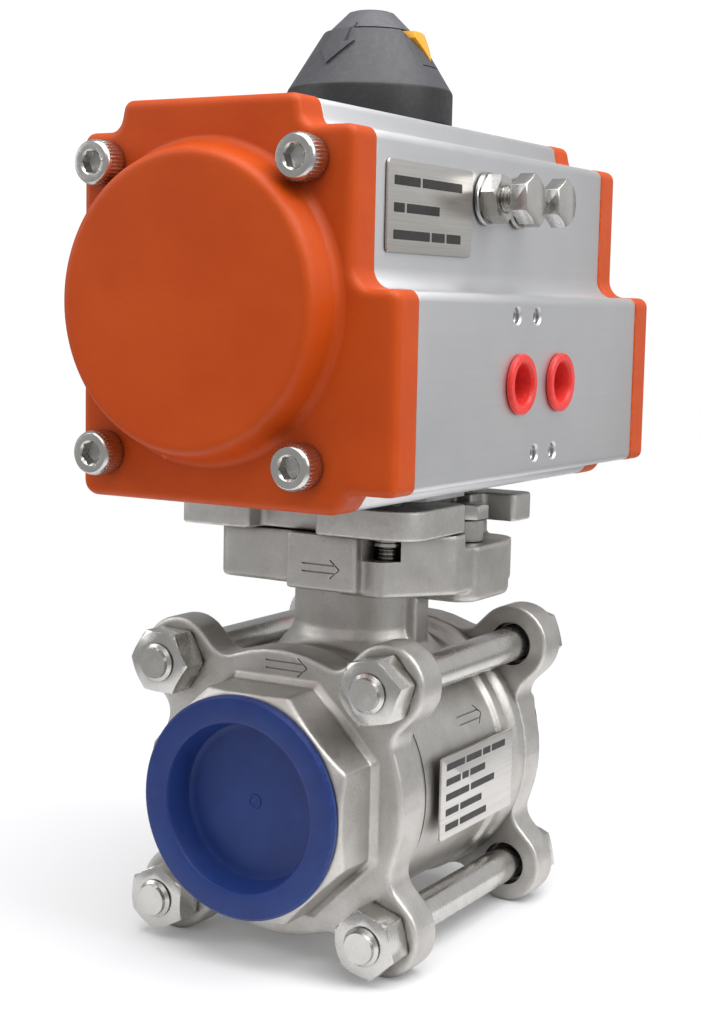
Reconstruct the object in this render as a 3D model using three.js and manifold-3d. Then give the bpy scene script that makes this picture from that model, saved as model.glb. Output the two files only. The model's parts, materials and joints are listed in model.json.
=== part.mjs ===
// A double-acting rack-and-pinion rotary actuator bolted to the three-piece ball valve it turns.
// Lengths are in millimetres. X points to the port side, +Y to the rear, +Z up.
// The parts are laid out about the valve stem (x = y = 0) with z = 0 on the pipe axis,
// then moved so that the origin is the middle of the footprint, on the floor.
import * as THREE from 'three';
import { mergeVertices } from 'three/addons/utils/BufferGeometryUtils.js';
import Module from 'manifold-3d';

const wasm = await Module();
wasm.setup();

const GAP = 0.15;
const ROUND = 28;
const SMALL_ROUND = 16;
const WIDE_ROUND = 40;
const quarterTurn = Math.PI / 2;

// ---------------------------------------------------------------- driving dimensions

const actuator = {
  base: 92.8,
  height: 113.5,
  halfLength: 76.6,
  capThickness: 12.2,
  domeDepth: 11.3,
  domeRootRadius: 44.5,
  domeDiscRadius: 40,
  boreRadius: 38,
  upperFaceX: 47.8,
  lowerFaceX: 62,
};
actuator.top = actuator.base + actuator.height;
actuator.boreHeight = actuator.base + actuator.height / 2;
actuator.capOuterY = actuator.halfLength + GAP + actuator.capThickness;
actuator.end = actuator.capOuterY + actuator.domeDepth;

const capScrew = { x: 34, lowZ: 106, highZ: 188.5, headRadius: 6.5, headHeight: 8, shankRadius: 3.9 };
const port = { z: 127.3, frontY: -13.3, rearY: 14.7, holeRadius: 6.2, flangeRadius: 9 };
const stop = { z: 182.3, frontY: -11.4, rearY: 11.4, tipX: 12, headX: 59.2, headHeight: 5.3 };

const gear = { teeth: 14, module: 2, addendum: 1.6, dedendum: 2, backlash: 0.3, halfFace: 9 };
gear.pitchRadius = gear.teeth * gear.module / 2;
gear.rootRadius = gear.pitchRadius - gear.dedendum;
gear.tipRadius = gear.pitchRadius + gear.addendum;
gear.pressureAngle = 20 * Math.PI / 180;
gear.baseRadius = gear.pitchRadius * Math.cos(gear.pressureAngle);

const piston = { radius: 37.6, innerY: 30, thickness: 14, rackBackX: 27, rackTipY: 27 };

const indicator = {
  skirtRadius: 26.3,
  skirtTop: 217.3,
  coneRadius: 14.8,
  coneTop: 235.3,
  tipRadius: 7,
  tipTop: 241.8,
};

const plate = { half: 42, bottom: 80.3, top: 89.3, studOffset: 24.75 };
const plateBolt = { x: 33, y: 10, collarTop: 82.8, top: 87.4 };

const valve = {
  earReach: 38,
  earRadius: 13,
  earArcSteps: 5,
  bodyHalf: 36,
  earThickness: 10,
  flangeRadius: 45,
  barrelRadius: 42.5,
  octagonAcross: 69.5,
  octagonEnd: 67,
  cavityRadius: 35.4,
  boreRadius: 25,
  threadRadius: 28.8,
  ballRadius: 34,
  padBottom: 61,
  padTop: 79.8,
  rightLugTop: 75.2,
  neckRadius: 21,
  stemRadius: 9,
  glandRadius: 12.4,
};
valve.earOuterY = valve.bodyHalf + valve.earThickness;

const tieBolt = { radius: 5.9, nutHeight: 10, nutAcross: 18, frontEnd: 59.6 };

// ---------------------------------------------------------------- solids

function signedVolume(points, index) {
  const a = new THREE.Vector3();
  const b = new THREE.Vector3();
  const c = new THREE.Vector3();
  let total = 0;
  for (let i = 0; i < index.length; i += 3) {
    a.fromArray(points, index[i] * 3);
    b.fromArray(points, index[i + 1] * 3);
    c.fromArray(points, index[i + 2] * 3);
    total += a.dot(b.cross(c));
  }
  return total;
}

// A closed solid from a three geometry: seams welded, empty triangles dropped, faces outward.
function solid(geometry) {
  const bare = new THREE.BufferGeometry();
  bare.setAttribute('position', geometry.getAttribute('position'));
  bare.setIndex(geometry.index);
  const welded = mergeVertices(bare, 1e-4);
  const index = welded.index.array;
  const kept = [];
  for (let i = 0; i < index.length; i += 3) {
    const corners = [index[i], index[i + 1], index[i + 2]];
    if (new Set(corners).size === 3) kept.push(...corners);
  }
  const points = welded.getAttribute('position').array;
  if (signedVolume(points, kept) < 0) kept.reverse();
  const mesh = new wasm.Mesh({
    numProp: 3,
    vertProperties: Float32Array.from(points),
    triVerts: Uint32Array.from(kept),
  });
  return new wasm.Manifold(mesh);
}

function join(...solids) {
  return solids.reduce((whole, next) => whole.add(next));
}

function cut(base, ...tools) {
  return tools.reduce((rest, tool) => rest.subtract(tool), base);
}

// Turns a shape made along local Z (or a lathe made along local Y) onto a row axis.
const prismTurn = {
  x: new THREE.Matrix4().makeBasis(
    new THREE.Vector3(0, 1, 0), new THREE.Vector3(0, 0, 1), new THREE.Vector3(1, 0, 0)),
  y: new THREE.Matrix4().makeBasis(
    new THREE.Vector3(1, 0, 0), new THREE.Vector3(0, 0, 1), new THREE.Vector3(0, -1, 0)),
  z: new THREE.Matrix4(),
};
const latheTurn = {
  x: new THREE.Matrix4().makeRotationZ(-quarterTurn),
  y: new THREE.Matrix4(),
  z: new THREE.Matrix4().makeRotationX(quarterTurn),
};

// A turned solid: [radius, along] corners spun about an axis through `centre`.
function turned(axis, profile, centre = [0, 0, 0], sides = ROUND) {
  const points = profile.map(([radius, along]) => new THREE.Vector2(radius, along));
  if (profile[0][0] > 0) points.push(points[0].clone());
  const geometry = new THREE.LatheGeometry(points, sides);
  geometry.applyMatrix4(latheTurn[axis]);
  geometry.translate(...centre);
  return solid(geometry);
}

function cylinder(axis, radius, from, to, centre, sides) {
  return turned(axis, [[0, from], [radius, from], [radius, to], [0, to]], centre, sides);
}

function ring(axis, inner, outer, from, to, centre, sides) {
  return turned(axis, [[inner, from], [outer, from], [outer, to], [inner, to]], centre, sides);
}

// A closed outline from corners [u, v, radius]; a corner with no radius stays sharp.
function outline(corners, arcSteps) {
  const points = [];
  corners.forEach(([u, v, radius = 0], i) => {
    const corner = new THREE.Vector2(u, v);
    if (radius === 0) {
      points.push(corner);
      return;
    }
    const { back, ahead } = edges(corners, i);
    const angle = Math.acos(back.dot(ahead));
    const toCentre = back.clone().add(ahead).normalize().multiplyScalar(radius / Math.sin(angle / 2));
    const centre = toCentre.add(corner);
    const start = back.clone().multiplyScalar(radius / Math.tan(angle / 2)).add(corner);
    const sweep = -Math.sign(back.cross(ahead)) * (Math.PI - angle);
    for (let step = 0; step <= arcSteps; step += 1) {
      points.push(start.clone().rotateAround(centre, sweep * step / arcSteps));
    }
  });
  return points;
}

// Unit vectors from a corner back to the one before and ahead to the one after.
function edges(corners, i) {
  const [u, v] = corners[i];
  const before = corners.at(i - 1);
  const after = corners[(i + 1) % corners.length];
  return {
    back: new THREE.Vector2(before[0] - u, before[1] - v).normalize(),
    ahead: new THREE.Vector2(after[0] - u, after[1] - v).normalize(),
  };
}

// The corners of an anticlockwise outline moved inward by a distance, their radii kept concentric.
function inset(corners, distance) {
  return corners.map(([u, v, radius = 0], i) => {
    const { back, ahead } = edges(corners, i);
    const inwardBefore = new THREE.Vector2(back.y, -back.x);
    const inwardAfter = new THREE.Vector2(-ahead.y, ahead.x);
    const shift = distance / (1 + inwardBefore.dot(inwardAfter));
    const bend = -Math.sign(back.cross(ahead));
    return [
      u + (inwardBefore.x + inwardAfter.x) * shift,
      v + (inwardBefore.y + inwardAfter.y) * shift,
      radius === 0 ? 0 : Math.max(0.1, radius - bend * distance),
    ];
  });
}

// A closed solid through outlines of equal length, each { points, at } at its own station.
function loft(axis, rings) {
  const count = rings[0].points.length;
  const positions = [];
  for (const { points, at } of rings) {
    for (const point of points) positions.push(point.x, point.y, axis === 'y' ? -at : at);
  }
  const index = [];
  for (let level = 0; level + 1 < rings.length; level += 1) {
    for (let i = 0; i < count; i += 1) {
      const a = level * count + i;
      const b = level * count + (i + 1) % count;
      index.push(a, b, b + count, a, b + count, a + count);
    }
  }
  const last = (rings.length - 1) * count;
  for (const [a, b, c] of THREE.ShapeUtils.triangulateShape(rings[0].points, [])) index.push(a, c, b);
  for (const [a, b, c] of THREE.ShapeUtils.triangulateShape(rings.at(-1).points, [])) {
    index.push(a + last, b + last, c + last);
  }
  const geometry = new THREE.BufferGeometry();
  geometry.setAttribute('position', new THREE.Float32BufferAttribute(positions, 3));
  geometry.setIndex(index);
  geometry.applyMatrix4(prismTurn[axis]);
  return solid(geometry);
}

// A prism between two stations along an axis; `ease` rounds the edges at the start and at the end.
// The corners are in (y, z) along x, (x, z) along y and (x, y) along z.
function prism(axis, corners, from, to, ease = [0, 0], arcSteps = 3) {
  const [easeFrom, easeTo] = ease;
  const turns = [0, quarterTurn / 2, quarterTurn];
  const levels = [];
  for (const turn of easeFrom > 0 ? turns : [quarterTurn]) {
    levels.push([from + easeFrom * (1 - Math.cos(turn)), easeFrom * (1 - Math.sin(turn))]);
  }
  for (const turn of easeTo > 0 ? turns : [0]) {
    levels.push([to - easeTo * (1 - Math.sin(turn)), easeTo * (1 - Math.cos(turn))]);
  }
  return loft(axis, levels.map(([at, depth]) => ({ points: outline(inset(corners, depth), arcSteps), at })));
}

function box(x0, x1, y0, y1, z0, z1) {
  const geometry = new THREE.BoxGeometry(x1 - x0, y1 - y0, z1 - z0);
  geometry.translate((x0 + x1) / 2, (y0 + y1) / 2, (z0 + z1) / 2);
  return solid(geometry);
}

function polygon(sides, acrossFlats, firstAngle = 0) {
  const radius = acrossFlats / 2 / Math.cos(Math.PI / sides);
  return Array.from({ length: sides }, (_, i) => {
    const angle = firstAngle + i * 2 * Math.PI / sides;
    return [radius * Math.cos(angle), radius * Math.sin(angle)];
  });
}

// A hexagonal head or nut about an axis parallel to x, y or z; `u` and `v` place it across the axis.
function hexagon(axis, across, from, to, u, v, firstAngle = 0) {
  return prism(axis, polygon(6, across, firstAngle).map(([x, y]) => [x + u, y + v]), from, to);
}

const pieces = [];

function piece(name, shape, finish) {
  pieces.push({ name, shape, finish });
}

// Finish: [colour, roughness, metalness].
const finishes = {
  orangePaint: [0xc3501f, 0.45, 0.1],
  anodised: [0xb9bbbd, 0.42, 0.8],
  castSteel: [0xa9a49c, 0.5, 0.85],
  machinedSteel: [0xc9c8c4, 0.28, 0.95],
  darkSteel: [0x55565a, 0.4, 0.9],
  rubber: [0x1c1c1e, 0.8, 0],
  acetal: [0xe6e2d6, 0.5, 0],
  darkPlastic: [0x55565b, 0.6, 0],
  amberPlastic: [0xf0a832, 0.45, 0],
  redPlastic: [0xd73a34, 0.4, 0],
  bluePlastic: [0x2d4178, 0.5, 0],
  ptfe: [0xf1efe9, 0.55, 0],
};

// ---------------------------------------------------------------- actuator shell

// The stepped section shared by the extruded body and both end caps, in (x, z).
function shellCorners() {
  const { base, top, upperFaceX, lowerFaceX } = actuator;
  const shoulder = base + 104.8;
  return [
    [-43.5, base, 4],
    [47.5, base, 4.5],
    [50.5, base + 6, 3],
    [lowerFaceX, base + 6, 2.5],
    [lowerFaceX, base + 61.5, 3],
    [upperFaceX, base + 61.5, 5.5],
    [upperFaceX, shoulder, 3],
    [31.5, shoulder, 4],
    [29.5, top, 3],
    [-29, top, 3],
    [-31, shoulder, 4],
    [-43.5, shoulder, 3],
  ];
}

function screwPlaces() {
  const places = [];
  for (const z of [capScrew.lowZ, capScrew.highZ]) {
    for (const x of [-capScrew.x, capScrew.x]) places.push([x, z]);
  }
  return places;
}

function studPlaces() {
  const d = plate.studOffset;
  return [[-d, -d], [d, -d], [d, d], [-d, d]];
}

function actuatorBody() {
  const { base, top, halfLength, boreRadius, boreHeight } = actuator;
  const shell = prism('y', shellCorners(), -halfLength, halfLength);
  const boss = prism('z', polygon(8, 62, Math.PI / 8), plate.top + GAP, base + 5);
  const cuts = [
    cylinder('y', boreRadius, -halfLength - 1, halfLength + 1, [0, 0, boreHeight], WIDE_ROUND),
    cylinder('z', 20.1, plate.top - 1, boreHeight, [0, 0, 0]),
    cylinder('z', 19.6, boreHeight, base + 94.7, [0, 0, 0]),
    cylinder('z', 14.9, boreHeight, top + 1, [0, 0, 0]),
    cylinder('y', 2.5, -halfLength - 1, halfLength + 1, [52, 0, port.z + 10], 12),
    cylinder('z', 2, port.z, port.z + 10, [53, port.rearY, 0], 12),
    cylinder('x', 5, 25, 60, [0, port.frontY, port.z], SMALL_ROUND),
  ];
  for (const y of [port.frontY, port.rearY]) {
    cuts.push(cylinder('x', 8, 51.5, 63, [0, y, port.z], SMALL_ROUND));
  }
  for (const y of [stop.frontY, stop.rearY]) {
    cuts.push(cylinder('x', 4.15, 12, 50, [0, y, stop.z], SMALL_ROUND));
  }
  for (const [x, z] of screwPlaces()) {
    for (const y of [-halfLength - 1, 50]) {
      cuts.push(cylinder('y', 4.15, y, y + 27.6, [x, 0, z], 12));
    }
  }
  for (const [x, y] of studPlaces()) {
    cuts.push(cylinder('z', 4.2, plate.top - 1, base + 11.5, [x, y, 0], 12));
  }
  for (const [y, height] of [[-15.8, 54.9], [-1.8, 54.9], [-1, 13.2], [12.4, 13.2]]) {
    cuts.push(cylinder('x', 2.1, 54, 63, [0, y, base + height], 12));
  }
  for (const x of [-15, 15]) {
    for (const y of [-40, 40]) cuts.push(cylinder('z', 2.1, top - 10, top + 1, [x, y, 0], 12));
  }
  return cut(join(shell, boss), ...cuts);
}

// `end` is -1 for the front cap and +1 for the rear one.
function spanY(end, near, far) {
  return end < 0 ? [-far, -near] : [near, far];
}

function endCap(end) {
  const { halfLength, capOuterY, boreHeight, domeRootRadius, domeDiscRadius } = actuator;
  const inner = halfLength + GAP;
  const centre = [0, 0, boreHeight];
  const flange = prism('y', shellCorners(), ...spanY(end, inner, capOuterY), end < 0 ? [2.4, 0] : [0, 2.4]);
  const dome = turned('y', [
    [0, end * (inner + 4)],
    [domeRootRadius, end * (inner + 4)],
    [domeRootRadius, end * (capOuterY + 1)],
    [domeRootRadius - 1.2, end * (actuator.end - 4.5)],
    [domeRootRadius - 2.2, end * (actuator.end - 2)],
    [domeDiscRadius, end * (actuator.end - 0.3)],
    [domeDiscRadius - 2, end * actuator.end],
    [0, end * actuator.end],
  ], centre, WIDE_ROUND);
  const hollow = turned('y', [
    [0, end * (inner - 1)],
    [36, end * (inner - 1)],
    [36, end * (capOuterY + 2)],
    [33, end * (capOuterY + 5)],
    [0, end * (capOuterY + 5)],
  ], centre);
  const cuts = [
    hollow,
    ring('y', 38.4, 41.2, end * (inner - 1), end * (inner + 1.9), centre),
    cylinder('y', 2.5, end * (inner - 1), end * (inner + 7.5), [52, 0, port.z + 10], 12),
    cylinder('x', 2, 32, 53, [0, end * (inner + 5.5), port.z + 10], 12),
  ];
  for (const [x, z] of screwPlaces()) {
    cuts.push(cylinder('y', 4.3, end * (inner - 1), end * (capOuterY + 1), [x, 0, z], 12));
  }
  return cut(join(flange, dome), ...cuts);
}

function capSeal(end) {
  const inner = actuator.halfLength + GAP;
  return ring('y', 38.7, 40.9, end * (inner + 0.1), end * (inner + 1.7), [0, 0, actuator.boreHeight]);
}

function capScrewAt(end, x, z) {
  const seat = actuator.capOuterY + 0.1;
  const screw = turned('y', [
    [0, end * (seat - 35)],
    [capScrew.shankRadius, end * (seat - 35)],
    [capScrew.shankRadius, end * seat],
    [capScrew.headRadius, end * seat],
    [capScrew.headRadius, end * (seat + capScrew.headHeight - 0.8)],
    [capScrew.headRadius - 0.8, end * (seat + capScrew.headHeight)],
    [0, end * (seat + capScrew.headHeight)],
  ], [x, 0, z], SMALL_ROUND);
  const socket = hexagon('y', 6, ...spanY(end, seat + 4, seat + 9), x, z);
  return cut(screw, socket);
}

// ---------------------------------------------------------------- pinion, racks and pistons

function involute(angle) {
  return Math.tan(angle) - angle;
}

// Half the angle a tooth covers at a radius, thinned by half the backlash.
function toothHalfAngle(radius) {
  const atPitch = Math.PI / (2 * gear.teeth) - gear.backlash / 2 / gear.pitchRadius;
  const rollAngle = Math.acos(Math.min(1, gear.baseRadius / radius));
  return atPitch + involute(gear.pressureAngle) - involute(rollAngle);
}

// A tooth of the pinion is centred on +X and another on -X.
function gearOutline() {
  const points = [];
  const flankRadii = [gear.rootRadius, gear.baseRadius, gear.pitchRadius, gear.tipRadius];
  for (let tooth = 0; tooth < gear.teeth; tooth += 1) {
    const middle = tooth * 2 * Math.PI / gear.teeth;
    const place = (radius, offset) => points.push([
      radius * Math.cos(middle + offset), radius * Math.sin(middle + offset)]);
    for (const radius of flankRadii) place(radius, -toothHalfAngle(radius));
    for (const radius of flankRadii.toReversed()) place(radius, toothHalfAngle(radius));
  }
  return points;
}

function pinionShaft() {
  const { base, top, boreHeight } = actuator;
  const shaft = turned('z', [
    [0, base + 1],
    [17.4, base + 1],
    [17.4, base + 22],
    [13.5, base + 23],
    [11.6, boreHeight - gear.halfFace - 1],
    [11.6, base + 101],
    [11.9, base + 101],
    [11.9, top + 3.4],
    [10.2, top + 3.4],
    [10.2, top + 5],
    [11.9, top + 5],
    [11.9, top + 8],
    [11, top + 9],
    [0, top + 9],
  ]);
  const teeth = prism('z', gearOutline(), boreHeight - gear.halfFace - 1, boreHeight + gear.halfFace + 1);
  const drive = box(-7.15, 7.15, -7.15, 7.15, base, base + 17);
  const screwHole = cylinder('z', 2.4, top - 6, top + 10, [0, 0, 0], 12);
  return cut(join(shaft, teeth), drive, screwHole);
}

// The rack's tooth space faces the pinion's tooth on the X axis, so the rest pose is in mesh.
// `side` is +1 for the rack at +X and -1 for the one at -X.
function rackOutline(side, fromY, toY) {
  const pitch = Math.PI * gear.module;
  const slope = Math.tan(gear.pressureAngle);
  const tipX = gear.pitchRadius - gear.addendum;
  const rootX = gear.pitchRadius + gear.dedendum;
  const halfAtPitch = pitch / 4 - gear.backlash / 4;
  const halfTip = halfAtPitch - gear.addendum * slope;
  const halfRoot = halfAtPitch + gear.dedendum * slope;
  const points = [];
  for (let middle = pitch / 2 - 6 * pitch; middle + halfRoot < toY; middle += pitch) {
    if (middle - halfRoot > fromY) {
      points.push([rootX, middle - halfRoot], [tipX, middle - halfTip]);
      points.push([tipX, middle + halfTip], [rootX, middle + halfRoot]);
    }
  }
  const back = [[piston.rackBackX, fromY], [piston.rackBackX, toY]];
  const corners = [...back, [rootX, toY], ...points.reverse(), [rootX, fromY]];
  return side > 0 ? corners : corners.map(([x, y]) => [-x, y]).reverse();
}

// `end` is -1 for the front piston, whose rack is on the -X side, and +1 for the rear one.
function pistonAt(end) {
  const { boreHeight } = actuator;
  const { radius, innerY, thickness, rackTipY } = piston;
  const outerY = innerY + thickness;
  const crown = turned('y', [
    [0, end * innerY],
    [radius - 1, end * innerY],
    [radius, end * (innerY + 1)],
    [radius, end * (innerY + 4.5)],
    [radius - 3.2, end * (innerY + 4.5)],
    [radius - 3.2, end * (innerY + 8)],
    [radius, end * (innerY + 8)],
    [radius, end * outerY],
    [12, end * outerY],
    [12, end * (outerY - 6)],
    [0, end * (outerY - 6)],
  ], [0, 0, boreHeight]);
  const span = end > 0 ? [-rackTipY, innerY + 2] : [-innerY - 2, rackTipY];
  const rack = prism('z', rackOutline(end, ...span), boreHeight - gear.halfFace, boreHeight + gear.halfFace);
  const backSpan = spanY(end, innerY - 0.5, innerY + 2);
  const shoeX = [end * 20, end * 31].sort((a, b) => a - b);
  const shoe = box(...shoeX, ...backSpan, boreHeight - 14, boreHeight + 14);
  return join(crown, rack, shoe);
}

function pistonSeal(end) {
  const from = piston.innerY + 4.7;
  return ring('y', piston.radius - 3, actuator.boreRadius - 0.2, end * from, end * (from + 3.1),
    [0, 0, actuator.boreHeight]);
}

// Two lobes with flat faces: one meets the rear stop screw when shut, the other the front one when open.
function stopCam() {
  const hub = 13.8;
  const lobe = 19.2;
  const face = stop.tipX - 0.3;
  const start = Math.acos(face / lobe);
  const end = 1.5 * Math.PI - start;
  const points = [];
  const arc = (radius, from, to, steps) => {
    for (let i = 0; i <= steps; i += 1) {
      const angle = from + (to - from) * i / steps;
      points.push([radius * Math.cos(angle), radius * Math.sin(angle)]);
    }
  };
  arc(lobe, start, end, 14);
  arc(hub, 1.5 * Math.PI - Math.acos(face / hub), 2 * Math.PI + Math.acos(face / hub), 10);
  const bore = cylinder('z', 11.75, stop.z - 10, stop.z + 10);
  return cut(prism('z', points, stop.z - 4, stop.z + 4), bore);
}

function stopScrew(y) {
  const shank = turned('x', [
    [0, stop.tipX],
    [3, stop.tipX],
    [3.9, stop.tipX + 1],
    [3.9, stop.headX + 1],
    [0, stop.headX + 1],
  ], [0, y, stop.z], SMALL_ROUND);
  const head = hexagon('x', 13, stop.headX, stop.headX + stop.headHeight, y, stop.z, quarterTurn / 3);
  return join(shank, head);
}

function lockNut(y) {
  const seat = actuator.upperFaceX + GAP;
  const flange = cylinder('x', 8, seat, seat + 1.4, [0, y, stop.z], SMALL_ROUND);
  const nut = hexagon('x', 13, seat + 1, seat + 7, y, stop.z, quarterTurn / 3);
  return cut(join(flange, nut), cylinder('x', 4.15, seat - 1, seat + 8, [0, y, stop.z], SMALL_ROUND));
}

function portBush(y) {
  const face = actuator.lowerFaceX + 0.05;
  return turned('x', [
    [port.holeRadius, 52],
    [7.7, 52],
    [7.7, face],
    [port.flangeRadius, face],
    [port.flangeRadius, face + 1],
    [port.flangeRadius - 0.6, face + 1.7],
    [port.holeRadius, face + 1.7],
  ], [0, y, port.z], SMALL_ROUND);
}

// ---------------------------------------------------------------- position indicator

function indicatorCap() {
  const from = actuator.top + 0.4;
  const { skirtRadius, skirtTop, coneRadius, coneTop, tipRadius, tipTop } = indicator;
  const shell = turned('z', [
    [17, from],
    [skirtRadius, from],
    [skirtRadius, skirtTop],
    [coneRadius, coneTop],
    [tipRadius, tipTop],
    [0, tipTop],
    [0, from + 12],
    [17, from + 12],
  ]);
  const screwWell = cylinder('z', 2.6, from, tipTop + 1, [0, 0, 0], 12);
  const screwSeat = cylinder('z', 4.6, tipTop - 2.4, tipTop + 1, [0, 0, 0], 16);
  return cut(shell, screwWell, screwSeat, pointerWedge(0));
}

// An arrow-shaped wedge let into the +X side of the cone, pointing down.
function pointerWedge(ease) {
  const corners = [[-3.4, 238], [-3.4, 231], [-5.6, 231], [0, 224.5], [5.6, 231], [3.4, 231], [3.4, 238]];
  return prism('x', inset(corners, ease), 11.5 + ease, 30);
}

function indicatorPointer() {
  const { skirtRadius, skirtTop, coneRadius, coneTop, tipRadius, tipTop } = indicator;
  const cone = turned('z', [
    [0, skirtTop],
    [skirtRadius - 0.4, skirtTop],
    [coneRadius - 0.4, coneTop],
    [tipRadius - 0.4, tipTop],
    [0, tipTop],
  ]);
  return cone.intersect(pointerWedge(0.2));
}

// ---------------------------------------------------------------- mounting plate

// A square with a notch in each side. The two side notches are stepped: they clear the bolts and keep the
// stud holes whole.
function mountingPlate() {
  const { half, bottom, top } = plate;
  const halfTurnAlike = [
    [-half, -half, 3],
    [-16, -half, 1.5],
    [-16, -34, 2],
    [8, -34, 2],
    [8, -half, 1.5],
    [half, -half, 10],
    [half, -6.4, 1.5],
    [24.8, -6.4, 2],
    [24.8, 18.8, 1],
    [30.5, 18.8, 1],
    [30.5, 25.6, 1.5],
    [half, 25.6, 1.5],
  ];
  const otherHalf = halfTurnAlike.map(([x, y, radius]) => [-x, -y, radius]);
  const blank = prism('z', [...halfTurnAlike, ...otherHalf], bottom, top);
  const holes = studPlaces().map(([x, y]) => cylinder('z', 4.3, bottom - 1, top + 1, [x, y, 0], 12));
  return cut(blank, cylinder('z', 18, bottom - 1, top + 1), ...holes);
}

function mountStud(x, y) {
  return cylinder('z', 3.9, 66.5, actuator.base + 11, [x, y, 0], 16);
}

// A hexagon bolt on its own round collar, set in the plate's side notch. The right lug it stands on is lower.
function plateBoltAt(side) {
  const { collarTop, top } = plateBolt;
  const x = side * plateBolt.x;
  const y = side * plateBolt.y;
  const seat = side > 0 ? valve.rightLugTop : valve.padTop;
  const shank = cylinder('z', 2.9, 66, seat + 0.2, [x, y, 0], 16);
  const collar = cylinder('z', 6, seat + 0.1, collarTop, [x, y, 0], SMALL_ROUND);
  return join(shank, collar, hexagon('z', 13, collarTop - 0.2, top, x, y));
}

// ---------------------------------------------------------------- valve

// The pad on top of the valve body: a middle block, a left lug, a front block and a lower, deeper right lug.
function pad() {
  const { padBottom, padTop, rightLugTop } = valve;
  const block = (x0, x1, y0, radius) => [[x0, y0, radius], [x1, y0, 1.5], [x1, 0, 1], [x0, 0, 1]];
  const middle = prism('z', [
    [-29, -30, 6],
    [27, -34, 3],
    [42, -12, 3],
    [41.5, 33, 9],
    [14, 36, 3],
    [-16, 36, 2],
    [-39, 34, 8],
    [-39, -8, 3],
  ], padBottom, padTop, [1.5, 0]);
  const boltRoom = cylinder('z', 6.6, rightLugTop, padTop + 1, [plateBolt.x, plateBolt.y, 0]);
  const ledge = join(box(29.2, 45, -6, 45, rightLugTop, padTop + 1), boltRoom);
  const leftLug = prism('z', block(-32, -2, -34, 5), padBottom + 3, padTop, [1.5, 0]);
  const frontBlock = prism('z', block(-4.2, 20.7, -38.5, 1.5), padBottom + 1.5, padTop, [1, 0]);
  const rightLugCorners = [[14, -5, 3], [42.3, -5, 3], [42, 32, 10], [14, 32, 6]];
  const rightLug = prism('z', rightLugCorners, padBottom - 4.5, rightLugTop, [2, 0]);
  return join(cut(middle, ledge), leftLug, frontBlock, rightLug);
}

function valveBody() {
  const { bodyHalf, barrelRadius, cavityRadius, neckRadius } = valve;
  const { padBottom, padTop, stemRadius, glandRadius } = valve;
  const barrel = turned('y', [
    [0, -bodyHalf],
    [44, -bodyHalf],
    [44, -bodyHalf + 6],
    [barrelRadius, -bodyHalf + 8],
    [barrelRadius, bodyHalf - 17],
    [44, bodyHalf - 16],
    [44, bodyHalf - 11],
    [barrelRadius, bodyHalf - 10],
    [44.5, bodyHalf - 5],
    [44.5, bodyHalf],
    [0, bodyHalf],
  ], [0, 0, 0], WIDE_ROUND);
  const neck = turned('z', [
    [0, 20],
    [31, 20],
    [31, 33],
    [24.5, 42],
    [neckRadius, 46.5],
    [neckRadius, padBottom + 6],
    [0, padBottom + 6],
  ]);
  const rib = box(0, 23.6, -5, 5, 30, padBottom + 6);
  const plateSeat = box(25, 43.8, -26, 28, -15.5, 13.5);
  const cuts = [
    cylinder('y', cavityRadius, -bodyHalf - 1, bodyHalf + 1, [0, 0, 0], WIDE_ROUND),
    cylinder('z', stemRadius + 0.2, 20, padTop + 1),
    cylinder('z', 11, 20, 38.4),
    cylinder('z', glandRadius + 0.3, padTop - 24, padTop + 1),
    box(20.7, 31, -45, -17, 72.4, padTop + 1),
    cylinder('z', 3.1, 65, padTop + 1, [plateBolt.x, plateBolt.y, 0], 16),
    cylinder('z', 3.1, 65, padTop + 1, [-plateBolt.x, -plateBolt.y, 0], 16),
  ];
  for (const [x, y] of studPlaces()) cuts.push(cylinder('z', 4.2, 66, padTop + 1, [x, y, 0], 16));
  return cut(join(barrel, neck, rib, plateSeat, pad()), ...cuts);
}

// The ears' corner arcs have an odd number of facets, so one facet of each lower ear lies flat on the floor.
function earCorners() {
  const { earReach, earRadius, flangeRadius, earArcSteps } = valve;
  const tip = earReach * Math.SQRT2 + earRadius;
  const neckAngle = Math.asin((earRadius + 1) / flangeRadius);
  const points = [];
  for (let ear = 0; ear < 4; ear += 1) {
    const angle = Math.PI / 4 + ear * quarterTurn;
    const along = new THREE.Vector2(Math.cos(angle), Math.sin(angle));
    const across = new THREE.Vector2(-along.y, along.x);
    const corner = (reach, offset) => along.clone().multiplyScalar(reach).addScaledVector(across, offset);
    const root = flangeRadius * Math.cos(neckAngle);
    const full = earRadius - 0.01;
    const lobe = [
      [root + 1, -earRadius, 5],
      [tip, -earRadius, full],
      [tip, earRadius, full],
      [root + 1, earRadius, 5],
    ];
    for (const [reach, offset, radius] of lobe) {
      const at = corner(reach, offset);
      points.push([at.x, at.y, radius]);
    }
    for (let step = 1; step <= 5; step += 1) {
      const onFlange = angle + neckAngle + (quarterTurn - 2 * neckAngle) * step / 6;
      points.push([flangeRadius * Math.cos(onFlange), flangeRadius * Math.sin(onFlange), 0]);
    }
  }
  return points;
}

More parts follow.
